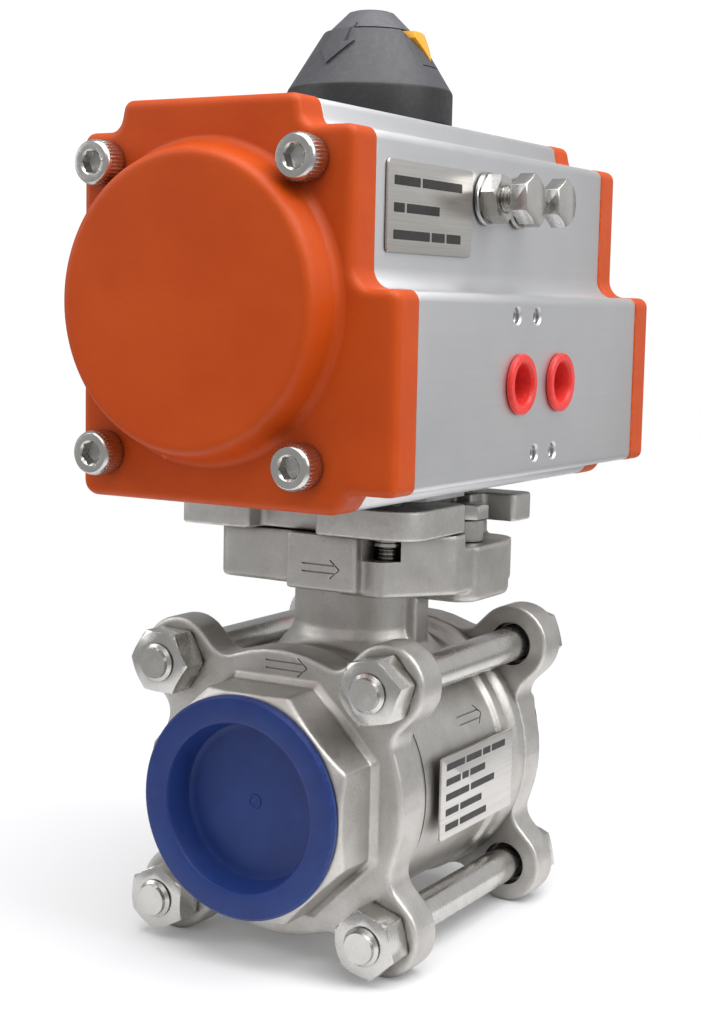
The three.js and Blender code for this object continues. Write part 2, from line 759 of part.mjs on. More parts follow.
function endConnector(end) {
  const { bodyHalf, earOuterY, octagonAcross, octagonEnd } = valve;
  const { boreRadius, threadRadius, earReach, earArcSteps } = valve;
  const inner = bodyHalf + 0.2;
  const flange = prism('y', earCorners(), ...spanY(end, inner, earOuterY), [0, 0], earArcSteps);
  const footSpan = spanY(end, earOuterY - 1, earOuterY + 1.4);
  const foot = prism('y', polygon(8, octagonAcross + 2.4, Math.PI / 8), ...footSpan);
  const octagonSpan = spanY(end, earOuterY - 1, octagonEnd);
  const octagon = prism('y', polygon(8, octagonAcross, Math.PI / 8), ...octagonSpan);
  const chamfer = turned('y', [
    [0, end * (earOuterY - 5)],
    [40, end * (earOuterY - 5)],
    [40, end * (octagonEnd - 4)],
    [34.4, end * octagonEnd],
    [0, end * octagonEnd],
  ]);
  const cuts = [
    cylinder('y', boreRadius, end * (inner - 1), end * (octagonEnd + 1)),
    cylinder('y', threadRadius, end * (octagonEnd - 18), end * (octagonEnd + 1)),
  ];
  for (const x of [-earReach, earReach]) {
    for (const z of [-earReach, earReach]) {
      const hole = [tieBolt.radius + 0.4, end * (inner - 1), end * (earOuterY + 1)];
      cuts.push(cylinder('y', ...hole, [x, 0, z], SMALL_ROUND));
    }
  }
  return cut(join(flange, foot, octagon.intersect(chamfer)), ...cuts);
}

// A bolt with its head behind the rear ear and its threaded end standing out of the front nut.
function tieBoltAt(x, z) {
  const seat = valve.earOuterY + 0.1;
  const rod = turned('y', [
    [0, -tieBolt.frontEnd],
    [4.9, -tieBolt.frontEnd],
    [tieBolt.radius, -tieBolt.frontEnd + 1.2],
    [tieBolt.radius, seat + 1],
    [0, seat + 1],
  ], [x, 0, z], SMALL_ROUND);
  return join(rod, hexagon('y', tieBolt.nutAcross, seat, seat + 7.5, x, z, 0.2));
}

function tieNutAt(x, z) {
  const seat = valve.earOuterY + 0.1;
  const nut = hexagon('y', tieBolt.nutAcross, -seat - tieBolt.nutHeight, -seat, x, z, 0.35);
  const bore = cylinder('y', tieBolt.radius + 0.25, -seat - 12, -seat + 1, [x, 0, z], SMALL_ROUND);
  return cut(nut, bore);
}

function ballSolid() {
  const { ballRadius, boreRadius } = valve;
  const half = Math.sqrt(ballRadius ** 2 - boreRadius ** 2);
  const steps = 9;
  const widest = Math.acos(half / ballRadius);
  const profile = [[boreRadius - 0.01, -half], [boreRadius - 0.01, half]];
  for (let i = 0; i <= steps; i += 1) {
    const angle = widest + (Math.PI - 2 * widest) * i / steps;
    profile.push([ballRadius * Math.sin(angle), ballRadius * Math.cos(angle)]);
  }
  const sphere = turned('x', profile);
  return cut(sphere, box(-9.2, 9.2, -3.7, 3.7, 27.5, 36));
}

function stemSolid() {
  const { padTop, stemRadius } = valve;
  const squareTop = actuator.base + 15;
  const shaft = turned('z', [
    [0, 34.4],
    [10.7, 34.4],
    [10.7, 36.5],
    [stemRadius, 38],
    [stemRadius, squareTop],
    [0, squareTop],
  ]);
  const roundPart = box(-12, 12, -12, 12, 30, padTop + 4);
  const squarePart = box(-7, 7, -7, 7, padTop, squareTop + 1);
  const squared = shaft.intersect(join(roundPart, squarePart));
  return join(squared, box(-8, 8, -3.5, 3.5, 28.2, 35));
}

function seatAt(end) {
  const { ballRadius, cavityRadius, bodyHalf, boreRadius } = valve;
  const touch = (radius) => Math.sqrt((ballRadius + 0.25) ** 2 - radius ** 2);
  const innerRadius = boreRadius + 0.6;
  const outerRadius = 32;
  const profile = [[innerRadius, end * (bodyHalf - 0.1)], [innerRadius, end * touch(innerRadius)]];
  for (let i = 1; i <= 4; i += 1) {
    const radius = innerRadius + (outerRadius - innerRadius) * i / 4;
    profile.push([radius, end * touch(radius)]);
  }
  profile.push([cavityRadius - 0.2, end * (touch(outerRadius) + 1)]);
  profile.push([cavityRadius - 0.2, end * (bodyHalf - 0.1)]);
  return turned('y', profile);
}

// A push-in protector: a flange against the pipe end and a shallow cup inside the thread.
function threadCap(end) {
  const face = valve.octagonEnd + 0.3;
  const outer = face + 2.7;
  return turned('y', [
    [0, end * (face - 4.6)],
    [28.3, end * (face - 4.6)],
    [28.3, end * face],
    [34.2, end * face],
    [34.2, end * (outer - 0.6)],
    [33.6, end * outer],
    [25.7, end * outer],
    [25.7, end * (face - 1.8)],
    [0, end * (face - 1.8)],
  ], [0, 0, 0], WIDE_ROUND);
}

// ---------------------------------------------------------------- assembly

function addActuator() {
  const { base, top, upperFaceX } = actuator;
  piece('actuator_body', actuatorBody(), 'anodised');
  for (const [side, end] of [['front', -1], ['rear', 1]]) {
    piece(`${side}_end_cap`, endCap(end), 'orangePaint');
    piece(`${side}_cap_seal`, capSeal(end), 'rubber');
    piece(`${side}_piston`, pistonAt(end), 'anodised');
    piece(`${side}_piston_seal`, pistonSeal(end), 'rubber');
    screwPlaces().forEach(([x, z], i) => {
      piece(`${side}_cap_screw_${i + 1}`, capScrewAt(end, x, z), 'machinedSteel');
    });
  }
  piece('pinion_shaft', pinionShaft(), 'machinedSteel');
  piece('pinion_lower_bush', ring('z', 17.6, 19.9, base + 2, base + 16), 'acetal');
  piece('pinion_upper_bush', ring('z', 12.1, 14.7, top - 17, top - 0.5), 'acetal');
  piece('pinion_washer', ring('z', 12.1, 16, top + 0.5, top + 3.2), 'acetal');
  piece('pinion_circlip', ring('z', 10.4, 14.2, top + 3.5, top + 4.9), 'darkSteel');
  piece('stop_cam', stopCam(), 'darkSteel');
  piece('indicator_cap', indicatorCap(), 'darkPlastic');
  piece('indicator_pointer', indicatorPointer(), 'amberPlastic');
  const screwTop = indicator.tipTop - 0.6;
  piece('indicator_screw', turned('z', [
    [0, top - 4],
    [2.3, top - 4],
    [2.3, screwTop - 1.6],
    [4.4, screwTop - 1.6],
    [4.4, screwTop],
    [0, screwTop],
  ], [0, 0, 0], 12), 'darkSteel');
  for (const [side, y] of [['front', stop.frontY], ['rear', stop.rearY]]) {
    piece(`${side}_stop_screw`, stopScrew(y), 'machinedSteel');
    piece(`${side}_stop_lock_nut`, lockNut(y), 'machinedSteel');
  }
  piece('front_port_bush', portBush(port.frontY), 'redPlastic');
  piece('rear_port_bush', portBush(port.rearY), 'redPlastic');
  const plateX = [upperFaceX + 0.1, upperFaceX + 0.8];
  piece('actuator_nameplate', box(...plateX, -71.7, -21.4, 164.5, 189.8), 'machinedSteel');
}

function addValve() {
  const { earReach, padTop, stemRadius, glandRadius } = valve;
  piece('mounting_plate', mountingPlate(), 'castSteel');
  studPlaces().forEach(([x, y], i) => piece(`mount_stud_${i + 1}`, mountStud(x, y), 'machinedSteel'));
  piece('plate_bolt_1', plateBoltAt(1), 'machinedSteel');
  piece('plate_bolt_2', plateBoltAt(-1), 'machinedSteel');
  piece('valve_body', valveBody(), 'castSteel');
  for (const [side, end] of [['front', -1], ['rear', 1]]) {
    piece(`${side}_end_connector`, endConnector(end), 'castSteel');
    piece(`${side}_seat`, seatAt(end), 'ptfe');
    piece(`${side}_thread_cap`, threadCap(end), 'bluePlastic');
  }
  piece('ball', ballSolid(), 'machinedSteel');
  piece('stem', stemSolid(), 'machinedSteel');
  piece('stem_packing', ring('z', stemRadius + 0.25, glandRadius, padTop - 23.5, padTop - 12), 'ptfe');
  piece('gland_nut', ring('z', stemRadius + 0.25, glandRadius, padTop - 11.5, padTop + 3), 'machinedSteel');
  let number = 0;
  for (const z of [-earReach, earReach]) {
    for (const x of [-earReach, earReach]) {
      number += 1;
      piece(`tie_bolt_${number}`, tieBoltAt(x, z), 'machinedSteel');
      piece(`tie_nut_${number}`, tieNutAt(x, z), 'machinedSteel');
    }
  }
  piece('valve_nameplate', box(44.15, 44.9, -24, 26, -14, 12.2), 'machinedSteel');
}

addActuator();
addValve();

const earFlat = valve.earReach + valve.earRadius * Math.cos(quarterTurn / (2 * valve.earArcSteps));
const centreX = (stop.headX + stop.headHeight - earFlat) / 2;

const assembly = new THREE.Group();
assembly.name = 'actuated_ball_valve';
for (const { name, shape, finish } of pieces) {
  const { vertProperties, triVerts } = shape.getMesh();
  const geometry = new THREE.BufferGeometry();
  geometry.setAttribute('position', new THREE.BufferAttribute(vertProperties, 3));
  geometry.setIndex(new THREE.BufferAttribute(triVerts, 1));
  geometry.translate(-centreX, 0, earFlat);
  geometry.computeVertexNormals();
  const [color, roughness, metalness] = finishes[finish];
  const material = new THREE.MeshStandardMaterial({ color, roughness, metalness, flatShading: true });
  const mesh = new THREE.Mesh(geometry, material);
  mesh.name = name;
  assembly.add(mesh);
}

export default assembly;
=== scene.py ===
"""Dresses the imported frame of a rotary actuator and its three-piece ball valve for rendering.

Every replacement piece is drawn in millimetres about the valve stem (x and y) and the pipe axis (z),
then set into the frame in metres.
"""

import json
import math

import bmesh
import bpy
from mathutils import Matrix, Vector


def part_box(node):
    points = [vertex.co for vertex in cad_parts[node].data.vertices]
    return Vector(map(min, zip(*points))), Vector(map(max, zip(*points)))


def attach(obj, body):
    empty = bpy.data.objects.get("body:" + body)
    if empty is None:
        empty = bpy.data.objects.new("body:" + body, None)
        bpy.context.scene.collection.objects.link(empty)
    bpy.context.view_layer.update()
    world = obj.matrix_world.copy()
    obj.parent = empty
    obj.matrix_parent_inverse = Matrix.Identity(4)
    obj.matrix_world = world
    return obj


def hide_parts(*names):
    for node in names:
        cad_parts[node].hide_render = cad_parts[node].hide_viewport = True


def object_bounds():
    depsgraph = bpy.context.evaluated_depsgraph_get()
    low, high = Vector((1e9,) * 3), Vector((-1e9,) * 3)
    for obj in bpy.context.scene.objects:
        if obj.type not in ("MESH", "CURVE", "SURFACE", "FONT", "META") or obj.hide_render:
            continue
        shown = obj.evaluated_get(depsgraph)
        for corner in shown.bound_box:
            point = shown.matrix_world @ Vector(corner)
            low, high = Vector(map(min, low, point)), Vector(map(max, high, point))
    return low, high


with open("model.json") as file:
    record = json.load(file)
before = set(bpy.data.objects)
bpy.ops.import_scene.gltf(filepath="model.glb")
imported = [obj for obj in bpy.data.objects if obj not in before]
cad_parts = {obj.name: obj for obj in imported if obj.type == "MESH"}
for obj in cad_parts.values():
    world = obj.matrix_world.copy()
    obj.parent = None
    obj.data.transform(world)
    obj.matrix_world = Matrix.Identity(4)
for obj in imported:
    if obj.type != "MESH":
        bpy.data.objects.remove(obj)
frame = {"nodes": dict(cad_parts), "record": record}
CAD_BOX = [list(corner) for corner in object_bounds()]

MM = 0.001
HALF_TURN = math.pi
QUARTER = math.pi / 2
ROUND = 96
SMALL_ROUND = 48


def middle(node):
    low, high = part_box(node)
    return (low + high) / 2


STEM_X = middle("stem").x
PIPE_Z = middle("front_thread_cap").z


def low(node, axis):
    """Where a CAD node starts along an axis, in millimetres from the stem and pipe axes."""
    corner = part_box(node)[0]
    return {"x": corner.x - STEM_X, "y": corner.y, "z": corner.z - PIPE_Z}[axis] / MM


def high(node, axis):
    """Where a CAD node ends along an axis, in millimetres from the stem and pipe axes."""
    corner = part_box(node)[1]
    return {"x": corner.x - STEM_X, "y": corner.y, "z": corner.z - PIPE_Z}[axis] / MM


# ---------------------------------------------------------------- dimensions read off the frame

BODY_TOP = high("actuator_body", "z")
BODY_END = high("actuator_body", "y")
LOWER_FACE = high("actuator_body", "x")
BODY_BASE = low("front_end_cap", "z")
CAP_LEFT = -43.5
UPPER_FACE = low("actuator_nameplate", "x") - 0.1
BORE_Z = (BODY_BASE + BODY_TOP) / 2
DOME_END = high("rear_end_cap", "y")
CAP_FACE = DOME_END - 11.3
PORT_Z = middle("front_port_bush").z / MM - PIPE_Z / MM
STOP_Z = middle("front_stop_screw").z / MM - PIPE_Z / MM
PLATE_BASE = low("mounting_plate", "z")
PLATE_TOP = high("mounting_plate", "z")
PLATE_HALF = high("mounting_plate", "y")
VALVE_HALF = -low("valve_body", "y")
EAR_OUTER = VALVE_HALF + 10
PIPE_END = high("rear_end_connector", "y")
PAD_BASE = 61.0
PAD_TOP = high("valve_body", "z")
RIGHT_LUG_TOP = PAD_TOP - 4.6
EAR_REACH = 38.0
EAR_RADIUS = 13.0
OCTAGON_ACROSS = 69.5
STUD_REACH = 24.75
CAP_SCREW_X = (-34.0, 34.0)
CAP_SCREW_Z = (106.0, 188.5)
PLATE_BOLT_AT = (33.0, 10.0)
BORE_RADIUS = 38.0
DOME_ROUND = 160
TIE_NUT_ACROSS = 18.8
SMALL_HEX_ACROSS = 13.0


# ---------------------------------------------------------------- drawing tools, in millimetres

TURN_TO = {
    "x": Matrix.Rotation(QUARTER, 4, "Y"),
    "y": Matrix.Rotation(-QUARTER, 4, "X"),
    "z": Matrix.Identity(4),
}
# Columns are where the outline's two directions and the prism's length go.
PRISM_TO = {
    "x": Matrix(((0, 0, 1, 0), (1, 0, 0, 0), (0, 1, 0, 0), (0, 0, 0, 1))),
    "y": Matrix(((1, 0, 0, 0), (0, 0, -1, 0), (0, 1, 0, 0), (0, 0, 0, 1))),
    "z": Matrix.Identity(4),
}


def new_object(name, verts, faces):
    mesh = bpy.data.meshes.new(name)
    mesh.from_pydata([tuple(v) for v in verts], [], faces)
    shell = bmesh.new()
    shell.from_mesh(mesh)
    bmesh.ops.remove_doubles(shell, verts=shell.verts, dist=1e-5)
    bmesh.ops.recalc_face_normals(shell, faces=shell.faces)
    shell.to_mesh(mesh)
    shell.free()
    obj = bpy.data.objects.new(name, mesh)
    bpy.context.scene.collection.objects.link(obj)
    return obj


def lathe(profile, axis="z", centre=(0, 0, 0), segments=ROUND):
    """A solid of revolution from [radius, along] points; it closes on itself off the axis."""
    verts = []
    faces = []
    count = len(profile)
    closed = profile[0][0] > 0 and profile[-1][0] > 0
    for step in range(segments):
        angle = 2 * HALF_TURN * step / segments
        for radius, along in profile:
            verts.append((radius * math.cos(angle), radius * math.sin(angle), along))
    for step in range(segments):
        here = step * count
        there = (step + 1) % segments * count
        for i in range(count if closed else count - 1):
            j = (i + 1) % count
            ring = [here + i, there + i, there + j, here + j]
            if profile[i][0] == 0:
                ring = [here + i, there + j, here + j]
            elif profile[j][0] == 0:
                ring = [here + i, there + i, here + j]
            faces.append(ring)
    place = Matrix.Translation(centre) @ TURN_TO[axis]
    return new_object("lathe", [place @ Vector(v) for v in verts], faces)


def cylinder(axis, radius, start, end, centre=(0, 0, 0), segments=SMALL_ROUND):
    return lathe([(0, start), (radius, start), (radius, end), (0, end)], axis, centre, segments)


def bend_of(corners, i):
    """Directions back and ahead along an outline's edges at corner i."""
    here = Vector(corners[i][:2])
    back = (Vector(corners[i - 1][:2]) - here).normalized()
    ahead = (Vector(corners[(i + 1) % len(corners)][:2]) - here).normalized()
    return here, back, ahead


def outline(corners, steps=6):
    """The points of a closed outline given as corners (u, v, radius)."""
    points = []
    for i, corner in enumerate(corners):
        radius = corner[2] if len(corner) > 2 else 0
        here, back, ahead = bend_of(corners, i)
        if radius == 0:
            points.append(here)
            continue
        angle = back.angle(ahead)
        centre = here + (back + ahead).normalized() * radius / math.sin(angle / 2)
        start = here + back * radius / math.tan(angle / 2) - centre
        turn = math.copysign(HALF_TURN - angle, -(back.x * ahead.y - back.y * ahead.x))
        for step in range(steps + 1):
            points.append(centre + Matrix.Rotation(turn * step / steps, 2) @ start)
    return points


def inset(corners, distance):
    """An anticlockwise outline's corners moved inward, with concentric radii."""
    moved = []
    for i, corner in enumerate(corners):
        radius = corner[2] if len(corner) > 2 else 0
        here, back, ahead = bend_of(corners, i)
        before = Vector((back.y, -back.x))
        after = Vector((-ahead.y, ahead.x))
        here = here + (before + after) * distance / (1 + before.dot(after))
        bend = math.copysign(1, -(back.x * ahead.y - back.y * ahead.x))
        moved.append((here.x, here.y, max(0.05, radius - bend * distance) if radius else 0))
    return moved


def prism(axis, corners, start, end, ease=(0, 0), steps=6, ease_steps=4):
    """A prism between two stations whose first and last edges are rounded by `ease`."""
    levels = []
    for step in range(ease_steps + 1) if ease[0] else [ease_steps]:
        turn = QUARTER * step / ease_steps
        levels.append((start + ease[0] * (1 - math.cos(turn)), ease[0] * (1 - math.sin(turn))))
    for step in range(ease_steps + 1) if ease[1] else [0]:
        turn = QUARTER * step / ease_steps
        levels.append((end - ease[1] * (1 - math.sin(turn)), ease[1] * (1 - math.cos(turn))))
    verts = []
    for along, depth in levels:
        for point in outline(inset(corners, depth), steps):
            verts.append(PRISM_TO[axis] @ Vector((point.x, point.y, -along if axis == "y" else along)))
    count = len(verts) // len(levels)
    faces = [list(range(count)), list(range(len(verts) - count, len(verts)))]
    for level in range(len(levels) - 1):
        for i in range(count):
            a = level * count + i
            b = level * count + (i + 1) % count
            faces.append([a, b, b + count, a + count])
    return new_object("prism", verts, faces)


def rectangle(u0, u1, v0, v1, radius=0):
    return [(u0, v0, radius), (u1, v0, radius), (u1, v1, radius), (u0, v1, radius)]


def polygon(sides, across, first=0.0):
    """The corners of a regular polygon, given its width across the flats and its first corner's angle."""
    reach = across / 2 / math.cos(HALF_TURN / sides)
    angles = [first + 2 * HALF_TURN * i / sides for i in range(sides)]
    return [(reach * math.cos(a), reach * math.sin(a)) for a in angles]


def four_corners(reach):
    """The corners of a square pattern, `reach` from its middle each way."""
    return [(u, v) for u in (-reach, reach) for v in (-reach, reach)]


def bake(obj):
    """Applies an object's modifiers to its mesh."""
    graph = bpy.context.evaluated_depsgraph_get()
    mesh = bpy.data.meshes.new_from_object(obj.evaluated_get(graph))
    old = obj.data
    obj.modifiers.clear()
    obj.data = mesh
    bpy.data.meshes.remove(old)
    return obj


def combine(obj, operation, others):
    for other in others:
        modifier = obj.modifiers.new(operation, "BOOLEAN")
        modifier.operation = operation
        modifier.solver = "MANIFOLD"
        modifier.object = other
        bake(obj)
        mesh = other.data
        bpy.data.objects.remove(other)
        bpy.data.meshes.remove(mesh)
    return obj


def join(obj, *others):
    return combine(obj, "UNION", others)


def cut(obj, *others):
    return combine(obj, "DIFFERENCE", others)


def common(obj, *others):
    return combine(obj, "INTERSECT", others)


def cast(obj, voxel, passes):
    """Runs a solid together the way a casting does: every inner corner fills and every edge softens."""
    remesh = obj.modifiers.new("remesh", "REMESH")
    remesh.mode = "VOXEL"
    remesh.voxel_size = voxel
    smooth = obj.modifiers.new("smooth", "SMOOTH")
    smooth.factor = 0.5
    smooth.iterations = passes
    return bake(obj)


def bevelled(obj, width, angle=35):
    """Rounds every edge that turns by more than `angle` degrees."""
    bevel = obj.modifiers.new("bevel", "BEVEL")
    bevel.width = width
    bevel.segments = 2
    bevel.limit_method = "ANGLE"
    bevel.angle_limit = math.radians(angle)
    return bake(obj)


def copied(obj, turn=0.0):
    """A copy of an unplaced solid, turned about Z."""
    twin = obj.copy()
    twin.data = obj.data.copy()
    twin.data.transform(Matrix.Rotation(turn, 4, "Z"))
    bpy.context.scene.collection.objects.link(twin)
    return twin


def mirrored_in_y(obj):
    twin = copied(obj)
    twin.data.transform(Matrix.Scale(-1, 4, (0, 1, 0)))
    twin.data.flip_normals()
    return twin


BODY_OF = {node: body for body, nodes in frame["record"]["behaviour"]["bodies"].items() for node in nodes}
SLOT_OF = {part["node"]: part["material_slot"] for part in frame["record"]["subparts"]}
PLACE = Matrix.Translation((STEM_X, 0, PIPE_Z)) @ Matrix.Scale(MM, 4)


def finish_piece(obj, node, material, name=None, sharp=35, hide=True):
    """Sets a drawn solid into the frame as the look of a CAD node."""
    obj.name = name or node + "_look"
    obj.data.name = obj.name
    obj.data.transform(PLACE)
    obj.data.materials.clear()
    obj.data.materials.append(material)
    obj.data.shade_smooth()
    obj.data.set_sharp_from_angle(angle=math.radians(sharp))
    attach(obj, BODY_OF[node])
    if hide:
        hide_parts(node)
    return obj


# ---------------------------------------------------------------- materials


class Shader:
    """A small builder for one procedural material."""

    def __init__(self, name, **uniform):
        self.material = bpy.data.materials.new(name)
        self.material.use_nodes = True
        self.tree = self.material.node_tree
        self.bsdf = self.tree.nodes["Principled BSDF"]
        for socket, value in uniform.items():
            self.bsdf.inputs[socket.replace("_", " ")].default_value = value
        self.coords = self.tree.nodes.new("ShaderNodeTexCoord").outputs["Object"]

    def node(self, kind, **inputs):
        node = self.tree.nodes.new(kind)
        for socket, value in inputs.items():
            target = node.inputs[socket.replace("_", " ")]
            if isinstance(value, bpy.types.NodeSocket):
                self.tree.links.new(value, target)
            else:
                target.default_value = value
        return node

    def stretched(self, scale):
        """Coordinates squeezed by a different amount each way, for drawn or turned lines."""
        return self.node("ShaderNodeMapping", Vector=self.coords, Scale=scale).outputs["Vector"]

    def noise(self, scale, detail=4.0, roughness=0.55, coords=None):
        vector = coords or self.coords
        node = self.node("ShaderNodeTexNoise", Vector=vector, Scale=scale, Detail=detail, Roughness=roughness)
        return node.outputs["Fac"]

    def ramp(self, value, low, high, start, end):
        """Maps a value from [low, high] to [start, end] and clamps it."""
        node = self.node("ShaderNodeMapRange", Value=value)
        node.clamp = True
        for socket, number in zip(("From Min", "From Max", "To Min", "To Max"), (low, high, start, end)):
            node.inputs[socket].default_value = number
        return node.outputs["Result"]

    def blend(self, factor, first, second):
        node = self.tree.nodes.new("ShaderNodeMix")
        node.data_type = "RGBA"
        for socket, value in (("Factor_Float", factor), ("A_Color", first), ("B_Color", second)):
            target = next(s for s in node.inputs if s.identifier == socket)
            if isinstance(value, bpy.types.NodeSocket):
                self.tree.links.new(value, target)
            elif socket == "Factor_Float":
                target.default_value = value
            else:
                target.default_value = (*value, 1)
        return next(s for s in node.outputs if s.identifier == "Result_Color")

    def product(self, first, second):
        node = self.tree.nodes.new("ShaderNodeMath")
        node.operation = "MULTIPLY"
        for target, value in zip(node.inputs, (first, second)):
            if isinstance(value, bpy.types.NodeSocket):
                self.tree.links.new(value, target)
            else:
                target.default_value = value
        return node.outputs[0]

    def bump(self, height, distance, strength=1.0, under=None):
        node = self.node("ShaderNodeBump", Height=height, Distance=distance, Strength=strength)
        if under:
            self.tree.links.new(under, node.inputs["Normal"])
        return node.outputs["Normal"]

    def edges(self):
        """High where the surface turns outward sharply."""
        pointed = self.tree.nodes.new("ShaderNodeNewGeometry").outputs["Pointiness"]
        return self.ramp(pointed, 0.51, 0.56, 0.0, 1.0)

    def shade_in_hollows(self, reach):
        """Painted shade: high in corners and crevices within `reach` metres, where ambient occlusion finds
        shade falling, for darkening the colour there.
        """
        node = self.node("ShaderNodeAmbientOcclusion", Distance=reach)
        node.samples = 8
        return self.ramp(node.outputs["AO"], 0.35, 0.9, 1.0, 0.0)

    def plug(self, socket, value):
        self.tree.links.new(value, self.bsdf.inputs[socket])


def linear(red, green, blue):
    """Linear light from everyday 0 to 255 colour values."""
    return tuple(((value / 255 + 0.055) / 1.055) ** 2.4 for value in (red, green, blue))


def painted_orange():
    shader = Shader("orange_paint", Coat_Weight=0.04, Coat_Roughness=0.3, Specular_IOR_Level=0.22)
    patches = shader.noise(38, 3)
    tint = shader.blend(shader.ramp(patches, 0.35, 0.65, 0, 1), linear(197, 76, 14), linear(190, 70, 11))
    worn = shader.product(shader.edges(), shader.ramp(shader.noise(420, 4), 0.5, 0.62, 0, 0.55))
    tint = shader.blend(worn, tint, linear(226, 120, 66))
    # Painted shade: the paint is darkened towards a deep orange in corners and crevices, where shade falls.
    painted_hollow_shade = shader.product(shader.shade_in_hollows(0.006), 0.45)
    shader.plug("Base Color", shader.blend(painted_hollow_shade, tint, linear(120, 42, 12)))
    shader.plug("Roughness", shader.ramp(shader.noise(260, 3), 0.3, 0.7, 0.38, 0.5))
    peel = shader.bump(shader.noise(620, 2), 0.00012, 0.5)
    shader.plug("Normal", shader.bump(shader.noise(2600, 2), 0.00003, 0.5, peel))
    return shader.material


def anodised():
    shader = Shader("anodised_aluminium", Metallic=1.0)
    clouds = shader.ramp(shader.noise(26, 3), 0.35, 0.65, 0, 1)
    tint = shader.blend(clouds, linear(215, 215, 216), linear(209, 209, 211))
    drawn = shader.noise(1, 5, 0.6, shader.stretched((1500, 8, 1500)))
    tint = shader.blend(shader.ramp(drawn, 0.35, 0.7, 0, 0.3), tint, linear(203, 204, 206))
    shader.plug("Base Color", tint)
    shader.plug("Roughness", shader.ramp(shader.noise(3000, 2), 0.3, 0.7, 0.4, 0.52))
    lines = shader.bump(drawn, 0.00003, 0.15)
    shader.plug("Normal", shader.bump(shader.noise(4200, 3), 0.00003, 0.5, lines))
    return shader.material


def cast_steel():
    shader = Shader("cast_stainless", Metallic=1.0)
    clouds = shader.ramp(shader.noise(70, 5, 0.65), 0.35, 0.68, 0, 1)
    tint = shader.blend(clouds, linear(203, 200, 196), linear(186, 183, 178))
    specks = shader.ramp(shader.noise(1500, 4, 0.7), 0.55, 0.75, 0, 0.6)
    tint = shader.blend(specks, tint, linear(150, 147, 142))
    worn = shader.product(shader.edges(), shader.ramp(shader.noise(500, 3), 0.35, 0.6, 0.2, 0.7))
    tint = shader.blend(worn, tint, linear(224, 222, 218))
    # Painted shade: the casting is darkened in corners and crevices, where shade falls.
    painted_crevice_shade = shader.product(shader.shade_in_hollows(0.005), 0.6)
    shader.plug("Base Color", shader.blend(painted_crevice_shade, tint, linear(98, 93, 87)))
    shader.plug("Roughness", shader.ramp(shader.noise(180, 5), 0.3, 0.7, 0.36, 0.5))
    skin = shader.bump(shader.noise(900, 4, 0.6), 0.00022, 0.42)
    shader.plug("Normal", shader.bump(shader.noise(3600, 3), 0.00006, 0.5, skin))
    return shader.material


def machined_steel():
    shader = Shader("machined_stainless", Metallic=1.0)
    clouds = shader.ramp(shader.noise(110, 3), 0.3, 0.7, 0, 1)
    tint = shader.blend(clouds, linear(208, 206, 202), linear(196, 194, 190))
    # Painted shade: the steel is darkened in corners and crevices, where shade falls.
    painted_crevice_shade = shader.product(shader.shade_in_hollows(0.0025), 0.5)
    shader.plug("Base Color", shader.blend(painted_crevice_shade, tint, linear(78, 73, 68)))
    shader.plug("Roughness", shader.ramp(shader.noise(300, 3), 0.3, 0.7, 0.2, 0.3))
    shader.plug("Normal", shader.bump(shader.noise(1800, 3), 0.00003, 0.25))
    return shader.material


def brushed_plate():
    shader = Shader("nameplate_steel", Metallic=1.0)
    brushed = shader.noise(1, 5, 0.65, shader.stretched((900, 24, 5200)))
    tint = shader.blend(shader.ramp(brushed, 0.3, 0.7, 0, 1), linear(216, 213, 209), linear(194, 191, 186))
    shader.plug("Base Color", tint)
    shader.plug("Roughness", shader.ramp(brushed, 0.3, 0.7, 0.26, 0.4))
    shader.plug("Normal", shader.bump(brushed, 0.00003, 0.4))
    return shader.material


def plain(name, first, second, rough, grain, grain_depth, **uniform):
    """A moulded or matt finish: two near tints in patches, uneven gloss, and a grained skin."""
    shader = Shader(name, **uniform)
    patches = shader.ramp(shader.noise(90, 4), 0.35, 0.65, 0, 1)
    tint = shader.blend(patches, first, second)
    scuffs = shader.product(shader.edges(), shader.ramp(shader.noise(700, 4), 0.45, 0.65, 0, 0.4))
    lighter = tuple(min(1.0, channel * 1.3 + 0.01) for channel in first)
    shader.plug("Base Color", shader.blend(scuffs, tint, lighter))
    shader.plug("Roughness", shader.ramp(shader.noise(400, 4), 0.3, 0.7, rough - 0.06, rough + 0.06))
    shader.plug("Normal", shader.bump(shader.noise(grain, 3, 0.6), grain_depth, 0.6))
    return shader.material


ORANGE = painted_orange()
ALUMINIUM = anodised()
CASTING = cast_steel()
STEEL = machined_steel()
PLATE = brushed_plate()
DARK_STEEL = plain(
    "dark_steel", linear(84, 85, 90), linear(66, 67, 72), 0.38, 1500, 0.00005, Metallic=1.0)
RUBBER = plain("seal_rubber", linear(30, 30, 32), linear(22, 22, 24), 0.7, 2200, 0.00004)
ACETAL = plain("acetal", linear(232, 228, 218), linear(222, 218, 207), 0.45, 1800, 0.00002)
PTFE = plain("ptfe", linear(240, 238, 232), linear(230, 228, 220), 0.5, 1200, 0.00002)
GREY = plain("indicator_grey", linear(71, 71, 75), linear(66, 66, 70), 0.52, 2400, 0.00008)
SKIRT = plain("indicator_skirt", linear(26, 26, 28), linear(22, 22, 24), 0.5, 2400, 0.00006)
# Painted light: a lighter copy of the indicator's grey for its crown, standing in for the light that falls on
# it from above.
LIT_CROWN_GREY = plain("indicator_crown_painted_light", linear(86, 86, 91), linear(81, 81, 86), 0.52, 2400, 0.00008)
AMBER = plain(
    "indicator_amber", linear(242, 168, 44), linear(232, 154, 34), 0.4, 1600, 0.00003, Subsurface_Weight=0.08)
RED = plain(
    "port_red", linear(226, 58, 52), linear(214, 50, 46), 0.34, 1400, 0.00002, Specular_IOR_Level=0.35)
BLUE = plain(
    "cap_blue", linear(27, 53, 116), linear(23, 46, 106), 0.42, 900, 0.00006, Specular_IOR_Level=0.35)
INK = plain("mark_black", linear(38, 36, 35), linear(28, 27, 26), 0.5, 1600, 0.00002)

